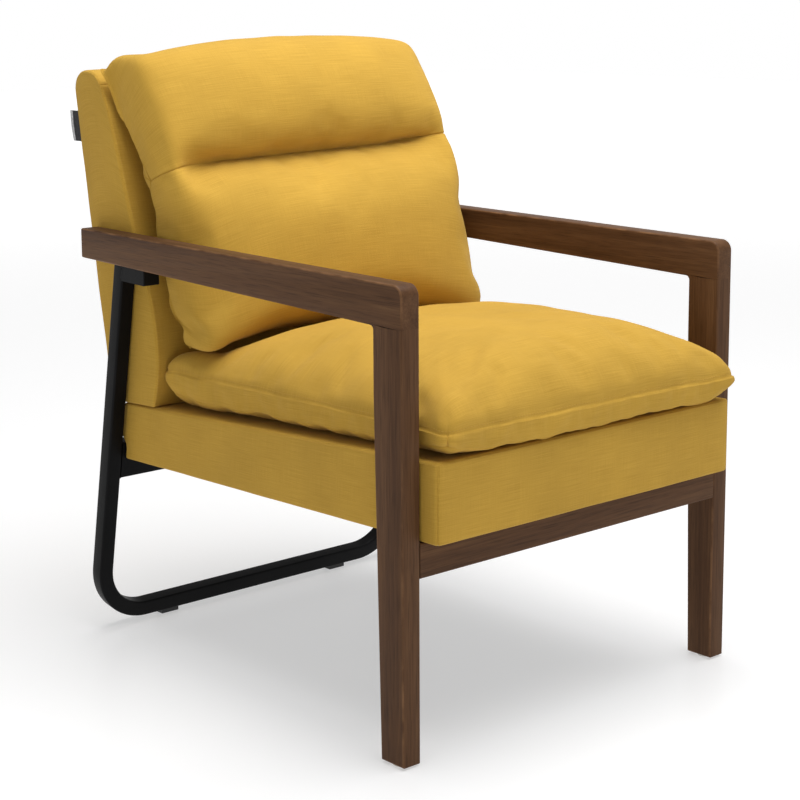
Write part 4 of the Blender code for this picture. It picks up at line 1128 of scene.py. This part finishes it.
def seat_cushion():
    """Boxed cushion: crowned top, narrow boxing with a corner seam, flat only where it lies on the box."""
    su, sv = shares(2 * CUSHION_HALF, 0.0085), shares(CUSHION_REAR - CUSHION_FRONT, 0.0085)
    us, vs = 2.0 * su - 1.0, 2.0 * sv - 1.0

    def swell(u, v):
        """The crown: full at the front and sides, lower where the pillow leans on it."""
        forward = v + CROWN_FORWARD * (1.0 - v * v)
        across = math.sqrt(max(1e-6, 1.0 - abs(u) ** CROWN_ACROSS))
        along = math.sqrt(max(1e-6, 1.0 - abs(forward) ** CROWN_ALONG))
        return (across ** -0.8 + along ** -0.8 - 1.0) ** -1.25

    def rear_corner(u, v):
        """The stuffed rear corners, which stand up beside the pillow."""
        rise = math.sqrt(max(0.0, (1.0 - u ** 10) * (1.0 - v ** 10)))
        off = (1.0 - abs(u)) / CORNER_SPREAD[0], (1.0 - v) / CORNER_SPREAD[1]
        return rise * math.exp(-off[0] ** 2 - off[1] ** 2)

    def dent(u, v):
        """Where the pillow's lower corners press."""
        off = (abs(u) - DENT_AT[0]) / DENT_SPREAD[0], (v - DENT_AT[1]) / DENT_SPREAD[1]
        return math.exp(-off[0] ** 2 - off[1] ** 2)

    def top(u, v):
        x, y = cushion_plan(u, v)
        seam = box_top(y) + border_height(u, v, SEAM_TOP, 0.0020)
        return at(x, y, seam + CUSHION_CROWN * swell(u, v) + REAR_CORNER_RISE * rear_corner(u, v)
                  - PILLOW_DENT * dent(u, v))

    def low_inset(u, v):
        return 0.0025 + 0.0045 * abs(u * v) ** 7

    def bottom(u, v):
        edge = max(abs(u), abs(v))
        roll = max(0.0, (edge - 0.80) / 0.20)
        corner = abs(u * v) ** 7
        x, y = cushion_plan(u, v, low_inset(u, v))
        rise = border_height(u, v, SEAM_LOW, 0.0036) + (0.015 if v > 0.0 else 0.005) * corner
        rise *= roll ** 2.6
        return at(x, y, box_top(y) + CUSHION_CLEAR + rise)

    cover = Cover()
    top_grid, low_grid = (np.array([[point(u, v) for u in us] for v in vs], float) for point in (top, bottom))
    cover.panel(top_grid)
    cover.panel(low_grid)

    def boxing(u, v, low, high, w):
        """A point up the boxing, which rolls under at its foot and bows out above."""
        bow = BOXING_BOW * (0.35 + 0.65 * abs(u * v) ** 7)
        x, y = cushion_plan(u, v, low_inset(u, v) * (1.0 - w) ** 1.7 - bow * math.sin(math.pi * w))
        return at(x, y, (1.0 - w) * low[2] + w * high[2])

    sb = shares(0.034, 0.006)
    for line, low, high in (([(u, -1.0) for u in us], low_grid[0], top_grid[0]),
                            ([(u, 1.0) for u in us], low_grid[-1], top_grid[-1]),
                            ([(-1.0, v) for v in vs], low_grid[:, 0], top_grid[:, 0]),
                            ([(1.0, v) for v in vs], low_grid[:, -1], top_grid[:, -1])):
        cover.panel([[boxing(*uv, a, b, w) for uv, a, b in zip(line, low, high)] for w in sb])
    cover.sew()
    floor_z = {v.index: box_top(v.co.y - FRONT_Y) for v in cover.bm.verts}
    seams = {v.index for e in cover.seam_edges() for v in e.verts}

    def hold(vert):
        if vert.co.z - floor_z[vert.index] < LYING:
            return 1.0
        return 0.75 if vert.index in seams else 0.0

    def cap(vert):
        rise = vert.co.z - floor_z[vert.index]
        if rise < LYING:
            return 0.0005
        return 0.004 if rise < 0.060 else 0.012

    inflate(cover, 2.6, 0.012, hold, cap)
    for vert in cover.bm.verts:
        vert.co.z = max(vert.co.z, floor_z[vert.index] + CUSHION_CLEAR)
    ripple(cover.bm, 0.0016, (9.0, 9.0, 12.0), 3)
    for panel in (3, 4, 5, 6):
        pucker(cover, cover.seam_edges((1, panel)), 0.0010, 0.006, 0.021, 1.0)
    pucker(cover, cover.seam_edges(), 0.0024, 0.020, 0.060, 5.0)
    for vert in cover.bm.verts:
        vert.co.y = min(vert.co.y, FRONT_Y + BACK_FRONT[1][0] - CUSHION_CLEAR)
        vert.co.z = max(vert.co.z, box_top(vert.co.y - FRONT_Y) + CUSHION_CLEAR)
    cover.groove(0.0024, 0.0002)
    rim = seam_lines(cover, ((1, 3), (1, 4), (1, 5), (1, 6)), 0.0052)
    obj = dress("cushion_body", cover, "seat_cushion", ("seat_cushion",))
    stitches("cushion_stitching", obj, rim, "seat_cushion")
    zip_fastener(obj)


def block(bm, centre, size):
    """Adds a small box with softened edges."""
    made = bmesh.ops.create_cube(bm, size=1.0)["verts"]
    bmesh.ops.scale(bm, vec=size, verts=made)
    bmesh.ops.translate(bm, vec=centre, verts=made)
    edges = list({e for v in made for e in v.link_edges})
    bmesh.ops.bevel(bm, geom=edges, offset=0.22 * min(size), segments=2, affect="EDGES")


ZIP_TAPE_H, ZIP_PITCH = 0.0115, 0.0028
# (distance off the boxing, share of half the tape's height) round the tape's section
ZIP_TAPE_RING = ((0.0006, -1.0), (0.0009, -0.3), (0.0009, 0.3), (0.0006, 1.0), (-0.0008, 1.0),
                 (-0.0008, -1.0))


def zip_fastener(target):
    """A coil zip in the rear boxing: tape, two rows of teeth and a slider with its puller."""
    low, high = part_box("seat_cushion_zip")
    tree = BVHTree.FromObject(target, bpy.context.evaluated_depsgraph_get())
    z = 0.5 * (low.z + high.z)

    def surface(x, height):
        hit = tree.ray_cast(Vector((x, high.y + 0.2, height)), Vector((0.0, -1.0, 0.0)))[0]
        return hit if hit else Vector((x, high.y, height))

    rows = []
    for i in range(81):
        x = low.x + (high.x - low.x) * i / 80
        rows.append([surface(x, z + 0.5 * ZIP_TAPE_H * share) + Vector((0.0, out, 0.0))
                     for out, share in ZIP_TAPE_RING])
    link("zip_tape", to_mesh("zip_tape", skin(rows), 40), BLACK_CLOTH, "seat_cushion", ("seat_cushion_zip",))
    teeth = bmesh.new()
    for i in range(int((high.x - low.x - 0.012) / ZIP_PITCH)):
        x = low.x + 0.006 + ZIP_PITCH * (i + 0.5)
        spot = surface(x, z) + Vector((0.0, 0.0012, 0.0008 if i % 2 else -0.0008))
        block(teeth, spot, (0.0017, 0.0012, 0.0036))
    link("zip_teeth", to_mesh("zip_teeth", teeth, 40), BLACK_PLASTIC, "seat_cushion", ())
    slider = bmesh.new()
    spot = surface(low.x + 0.012, z) + Vector((0.0, 0.0012, 0.0))
    block(slider, spot, (0.0100, 0.0024, 0.0078))
    block(slider, spot + Vector((0.0, 0.0012, 0.0)), (0.0040, 0.0014, 0.0030))
    block(slider, spot + Vector((0.0100, 0.0014, 0.0)), (0.0180, 0.0009, 0.0046))
    link("zip_slider", to_mesh("zip_slider", slider, 40), ZINC, "seat_cushion", ())


def seam_lines(cover, pairs, offset):
    """Lines beside the seams between panel pairs, offset into the first panel."""
    lines = []
    for first, second in pairs:
        edges = cover.seam_edges((first, second))
        chain = order_chain(edges)
        points = []
        for vert in chain:
            inward = Vector((0.0, 0.0, 0.0))
            for face in vert.link_faces:
                if face[cover.panel_id] == first:
                    inward += face.calc_center_median() - vert.co
            if inward.length > 1e-9:
                points.append(vert.co + inward.normalized() * offset)
        lines.append([tuple(p) for p in points])
    return lines


def order_chain(edges):
    """The vertices of connected edges, in order from one end."""
    links = {}
    for edge in edges:
        a, b = edge.verts
        links.setdefault(a, []).append(b)
        links.setdefault(b, []).append(a)
    ends = [v for v, near in links.items() if len(near) == 1]
    here = ends[0] if ends else next(iter(links))
    chain, before = [here], None
    while True:
        near = [v for v in links[here] if v is not before]
        if not near or near[0] is chain[0]:
            return chain
        before, here = here, near[0]
        chain.append(here)


# ---------- back pillow ----------

# (station, height) lines down the pillow: its middle, its blunt ends' front and its rear side edge.
# The upper three run from the rear top seam to the channel, the lower three from the channel to the foot.
UPPER_MIDDLE = ((0.668, 0.834), (0.659, 0.859), (0.630, 0.869), (0.600, 0.866), (0.572, 0.849),
                (0.548, 0.815), (0.533, 0.778), (0.524, 0.744), (0.528, 0.720), (0.553, 0.704))
UPPER_END = ((0.672, 0.830), (0.664, 0.843), (0.646, 0.850), (0.620, 0.853), (0.598, 0.846), (0.575, 0.815),
             (0.555, 0.785), (0.537, 0.752), (0.524, 0.722), (0.520, 0.704))
UPPER_EDGE = ((0.672, 0.830), (0.653, 0.785), (0.633, 0.757), (0.597, 0.711), (0.572, 0.684))
LOWER_MIDDLE = ((0.553, 0.704), (0.527, 0.698), (0.498, 0.686), (0.472, 0.661), (0.453, 0.630),
                (0.441, 0.590), (0.434, 0.548), (0.433, 0.514), (0.441, 0.486), (0.461, 0.468),
                (0.492, 0.460))
LOWER_END = ((0.520, 0.704), (0.513, 0.697), (0.502, 0.682), (0.489, 0.650), (0.477, 0.607), (0.463, 0.559),
             (0.449, 0.508), (0.440, 0.482), (0.438, 0.466), (0.444, 0.453), (0.460, 0.446), (0.484, 0.4520))
LOWER_EDGE = ((0.572, 0.684), (0.573, 0.664), (0.562, 0.637), (0.563, 0.603), (0.541, 0.538), (0.526, 0.501),
              (0.501, 0.477), (0.505, 0.468), (0.499, 0.457), (0.484, 0.4520))
REAR_CHANNEL = (0.632, 0.704)
# the channel and the top both stand higher at the right end
CHANNEL_TILT, CHANNEL_RISE, TOP_TILT = 0.006, 0.015, 0.010
# the top left corner's rise and reach to the side, and how far the foot's right end draws in
LEFT_EAR, EAR_OUT, FOOT_TRIM = 0.010, 0.011, 0.006
# cloth lengths that set the grids: down each lobe, and round both ends
UPPER_RUN, LOWER_RUN, END_WRAP = 0.23, 0.31, 0.14
END_SHARE, END_SQUARE = 0.955, 0.8
PILLOW_CLEAR = 0.0014
EASE_STEPS, EASE_REACH = 600, 0.028


def soft_run(line):
    """An open line with its bends eased over a distance, its ends kept."""
    line = at_lengths(line, np.linspace(0.0, 1.0, EASE_STEPS))
    length = np.linalg.norm(np.diff(line, axis=0), axis=1).sum()
    width = max(1, int(EASE_REACH / length * EASE_STEPS))
    weights = np.hanning(2 * width + 3)[1:-1]
    weights /= weights.sum()
    before = 2.0 * line[0] - line[width:0:-1]
    after = 2.0 * line[-1] - line[-2:-width - 2:-1]
    padded = np.vstack([before, line, after])
    return np.stack([np.convolve(padded[:, k], weights, "valid") for k in range(line.shape[1])], axis=1)


def pillow_rows(middle, end, edge, rows, columns, flat, tilt):
    """A panel round the pillow's front and both ends. flat(v) is how square the row's run to its ends is."""
    lines = [at_lengths(smooth_line(line, 240), rows) for line in (middle, end, edge)]
    turn = np.linspace(0.0, 0.5 * math.pi, 60)
    grid = []
    for v, m, e, s in zip(rows, *lines):
        run = np.linspace(0.0, 1.0, 120)[:-1]
        flank = e + (m - e) * (1.0 - run ** flat(v))[:, None]
        wrap = e + (s - e) * (1.0 - np.cos(turn) ** END_SQUARE)[:, None]
        x = np.concatenate([END_SHARE * run, END_SHARE + (1.0 - END_SHARE) * np.sin(turn) ** END_SQUARE])
        half = np.column_stack([x * PILLOW_HALF, np.vstack([flank, wrap])])
        mirrored = half[:0:-1] * (-1.0, 1.0, 1.0)
        row = at_lengths(soft_run(np.vstack([mirrored, half])), columns)
        row[0, 0], row[-1, 0] = -PILLOW_HALF, PILLOW_HALF
        across = row[:, 0] / PILLOW_HALF
        row[:, 2] += (CHANNEL_TILT * across + CHANNEL_RISE * np.maximum(across, 0.0) ** 4) * tilt(v)
        grid.append([at(*p) for p in row])
    return np.array(grid, float)


def rest_against(bm, support, clearance):
    """Flattens the mesh where it would press into the support behind it."""
    tree = BVHTree.FromObject(support, bpy.context.evaluated_depsgraph_get())
    reach = 0.15
    for vert in bm.verts:
        start = vert.co - Vector((0.0, reach, 0.0))
        hit = tree.ray_cast(start, Vector((0.0, 1.0, 0.0)), reach + clearance)[0]
        if hit:
            vert.co.y = min(vert.co.y, hit.y - clearance)


def back_pillow(slab):
    """Two stuffed lobes divided by a sewn channel that fades out towards the ends."""
    upper, lower = shares(UPPER_RUN, 0.0085), shares(LOWER_RUN, 0.0085)
    columns = shares(2 * PILLOW_HALF + END_WRAP, 0.0095)
    top = pillow_rows(UPPER_MIDDLE, UPPER_END, UPPER_EDGE, upper, columns,
                      lambda v: 2.4 + 4.6 * v ** 3, lambda v: v * v)
    low = pillow_rows(LOWER_MIDDLE, LOWER_END, LOWER_EDGE, lower, columns,
                      lambda v: 2.4 + 4.6 * (1.0 - v) ** 4, lambda v: (1.0 - v) ** 2)
    across = top[..., 0] / PILLOW_HALF
    top[..., 2] += TOP_TILT * across * (np.minimum(1.0, 6.0 * upper) * (1.0 - upper) ** 2)[:, None]
    stuffed = np.minimum(1.0, 9.0 * upper) * np.exp(-((upper - 0.11) / 0.13) ** 2)
    near_left = np.exp(-((1.0 + across) / 0.12) ** 2)
    top[..., 2] += LEFT_EAR * near_left * stuffed[:, None]
    top[..., 0] -= EAR_OUT * near_left * np.exp(-(upper / 0.18) ** 2)[:, None]
    right = np.maximum(low[..., 0], 0.0) / PILLOW_HALF
    low[..., 0] -= FOOT_TRIM * right ** 2 * (lower ** 4)[:, None]
    bend = np.abs(top[0, :, 0] / PILLOW_HALF)[:, None]
    ends = top[-1, 0], top[-1, -1]
    rear = np.array(at(0.0, *REAR_CHANNEL))
    channel = top[-1].copy()
    edge = 0.5 * (ends[0] + ends[1])
    channel[:, 1:] = edge[1:] + (rear[1:] - edge[1:]) * (1.0 - bend ** 3)
    channel[:, 2] += (ends[1][2] - edge[2]) * top[0, :, 0] / PILLOW_HALF
    back_top = patch(top[0], channel, top[:, 0], top[:, -1], columns, upper)
    back_low = patch(channel, low[-1], low[:, 0], low[:, -1], columns, lower)
    cover = Cover()
    cover.panel(top)
    cover.panel(low)
    cover.panel(plump(back_top, -0.010, columns, upper))
    cover.panel(plump(back_low, -0.014, columns, lower))
    cover.sew()
    front_channel = cover.seam_edges((1, 2))
    channels = {v.index for e in front_channel + cover.seam_edges((3, 4)) for v in e.verts}
    seams = {v.index for e in cover.seam_edges() for v in e.verts}

    def hold(vert):
        if vert.index in channels:
            return 1.0
        return 0.8 if vert.index in seams else 0.0

    def cap(vert):
        return 0.003 if vert.index in seams else 0.010

    inflate(cover, 1.6, 0.010, hold, cap)
    ripple(cover.bm, 0.0018, (8.0, 8.0, 8.0), 5)
    pucker(cover, cover.seam_edges(), 0.0013, 0.007, 0.022, 2.0)
    pucker(cover, front_channel, 0.0045, 0.020, 0.060, 3.0)
    rest_against(cover.bm, slab, PILLOW_CLEAR)
    cover.groove(0.0026, 0.0006)
    lines = seam_lines(cover, ((2, 1),), 0.0045)
    obj = dress("pillow_body", cover, "back_pillow", ("back_pillow",))
    stitches("pillow_stitching", obj, lines, "back_pillow")


# (station, height) points across the tape, from inside the back's crown to inside the pillow's rear seam
HINGE_TAPE = ((0.6875, 0.8110), (0.6840, 0.8145), (0.6780, 0.8215), (0.6715, 0.8290), (0.6665, 0.8330))
TAPE_THICK, TAPE_INSET = 0.0014, 0.030


def hinge_tape():
    """The strip of cover fabric that the pillow hangs by."""
    line = smooth_line(HINGE_TAPE, 14)
    along = np.gradient(line, axis=0)
    normal = np.column_stack([-along[:, 1], along[:, 0]]) / np.linalg.norm(along, axis=1)[:, None]
    offset = 0.5 * TAPE_THICK * normal
    ring = np.vstack([line + offset, (line - offset)[::-1]])
    half = PILLOW_HALF - TAPE_INSET
    rows = [[at(x, y, z) for y, z in ring] for x in np.linspace(-half, half, 61)]
    mesh = to_mesh("pillow_hinge_tape", skin(rows), 40)
    uv = mesh.uv_layers.new(name=CLOTH_UV).data
    for loop in mesh.loops:
        point = mesh.vertices[loop.vertex_index].co
        uv[loop.index].uv = (point.x, math.sqrt(0.5) * (point.z - point.y))
    obj = link("pillow_hinge_tape", mesh, FABRIC, None, ())
    at(0.0, *HINGE_TAPE[1])
    at(0.0, *HINGE_TAPE[3])
    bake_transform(obj)


# ---------- carried-over CAD nodes ----------

def dress_nodes():
    """Gives every CAD node that still shows its finished material."""
    looks = {
        "arm_tab": STEEL, "leg_glide": PALE_PLASTIC, "loop_glide": BLACK_PLASTIC, "back_bolt": ZINC,
        "arm_dowel": PALE_TIMBER["z"], "rail_dowel": PALE_TIMBER["x"],
        "seat_board_front": PALE_TIMBER["x"], "seat_board_rear": PALE_TIMBER["x"],
        "seat_board_l": PALE_TIMBER["y"], "seat_board_r": PALE_TIMBER["y"],
        "seat_corner_block": PALE_TIMBER["x"], "seat_strap": WEBBING, "seat_foam": FOAM,
        "back_stile": PALE_TIMBER["z"], "back_rail_top": PALE_TIMBER["x"],
        "back_plank_bottom": PALE_TIMBER["x"], "back_strap": WEBBING, "back_foam": FOAM,
        "seat_cushion_zip": BLACK_PLASTIC,
    }
    for name, obj in NODES.items():
        if obj.hide_render:
            continue
        look = next((m for key, m in looks.items() if name.startswith(key)), None)
        if look is None:
            raise ValueError(f"no finish for {name}")
        obj.data.materials.clear()
        obj.data.materials.append(look)


# ---------- studio ----------

FLOOR_HALF, SKY = 14.0, 0.29


def floor():
    """A plain pale floor that pales further off, so it meets the horizon without an edge."""
    n = Nodes("studio_floor", Roughness=0.32, Specular_IOR_Level=0.25)
    socket_set(n.shader, Base_Color=(0.55, 0.55, 0.553, 1.0), Emission_Color=(1.0, 1.0, 1.0, 1.0))
    length = n.add("ShaderNodeVectorMath", operation="LENGTH")
    n.join(n.place((0.1, 0.1, 0.1)), length.inputs[0])
    far = n.ramp(length.outputs["Value"], [(0.08, 0.45), (0.75, 0.85)])
    n.join(far, n.shader.inputs["Emission Strength"])
    mesh = bpy.data.meshes.new("floor")
    corners = [(FLOOR_HALF * x, FLOOR_HALF * y, 0) for x, y in ((-1, -1), (1, -1), (1, 1), (-1, 1))]
    mesh.from_pydata(corners, [], [(0, 1, 2, 3)])
    obj = bpy.data.objects.new("floor", mesh)
    bpy.context.scene.collection.objects.link(obj)
    mesh.materials.append(n.material)


def area_light(name, place, target, size, power):
    data = bpy.data.lights.new(name, "AREA")
    data.shape = "RECTANGLE"
    data.size, data.size_y = size
    data.energy = power
    obj = bpy.data.objects.new(name, data)
    obj.location = place
    obj.rotation_euler = (Vector(target) - Vector(place)).to_track_quat("-Z", "Y").to_euler()
    bpy.context.scene.collection.objects.link(obj)


def studio():
    """A pale floor, a white horizon that dims overhead, and one large soft lamp above."""
    floor()
    world = bpy.data.worlds.new("studio")
    world.use_nodes = True
    tree = world.node_tree
    where = tree.nodes.new("ShaderNodeTexCoord")
    split = tree.nodes.new("ShaderNodeSeparateXYZ")
    fade = tree.nodes.new("ShaderNodeValToRGB")
    for element, (position, grey) in zip(fade.color_ramp.elements, ((0.10, 1.0), (0.24, SKY))):
        element.position = position
        element.color = (grey, grey, grey, 1.0)
    tree.links.new(where.outputs["Generated"], split.inputs["Vector"])
    tree.links.new(split.outputs["Z"], fade.inputs["Fac"])
    tree.links.new(fade.outputs["Color"], tree.nodes["Background"].inputs["Color"])
    bpy.context.scene.world = world
    bpy.context.scene.view_settings.view_transform = "Standard"
    area_light("overhead", (0.2, -0.38, 2.9), (0.0, -0.05, 0.4), (2.4, 2.4), 106.0)


CAMERA_AT = (-1.7599, -1.6397, 0.9396)
CAMERA_YAW, CAMERA_PITCH, CAMERA_ROLL = (math.radians(a) for a in (41.549, 9.2603, -0.2598))


def camera():
    data = bpy.data.cameras.new("camera")
    data.sensor_width = 36.0
    data.lens = 85.56
    data.shift_y = -0.125
    data.clip_end = 100.0
    ahead = Vector((math.sin(CAMERA_YAW) * math.cos(CAMERA_PITCH),
                    math.cos(CAMERA_YAW) * math.cos(CAMERA_PITCH), -math.sin(CAMERA_PITCH)))
    right = Vector((math.cos(CAMERA_YAW), -math.sin(CAMERA_YAW), 0.0))
    up = right.cross(ahead)
    c, s = math.cos(CAMERA_ROLL), math.sin(CAMERA_ROLL)
    x_axis, y_axis = right * c + up * s, up * c - right * s
    turn = Matrix((x_axis, y_axis, -ahead)).transposed()
    obj = bpy.data.objects.new("camera", data)
    obj.matrix_world = Matrix.Translation(at(*CAMERA_AT)) @ turn.to_4x4()
    bpy.context.scene.collection.objects.link(obj)
    bpy.context.scene.camera = obj


camera()
studio()
timber()
steel_loop()
steel_bar()
tab_welds()
socket_bolts()
seat_box()
seat_underside()
slab = back_slab()
blank_label()
seat_cushion()
back_pillow(slab)
hinge_tape()
dress_nodes()
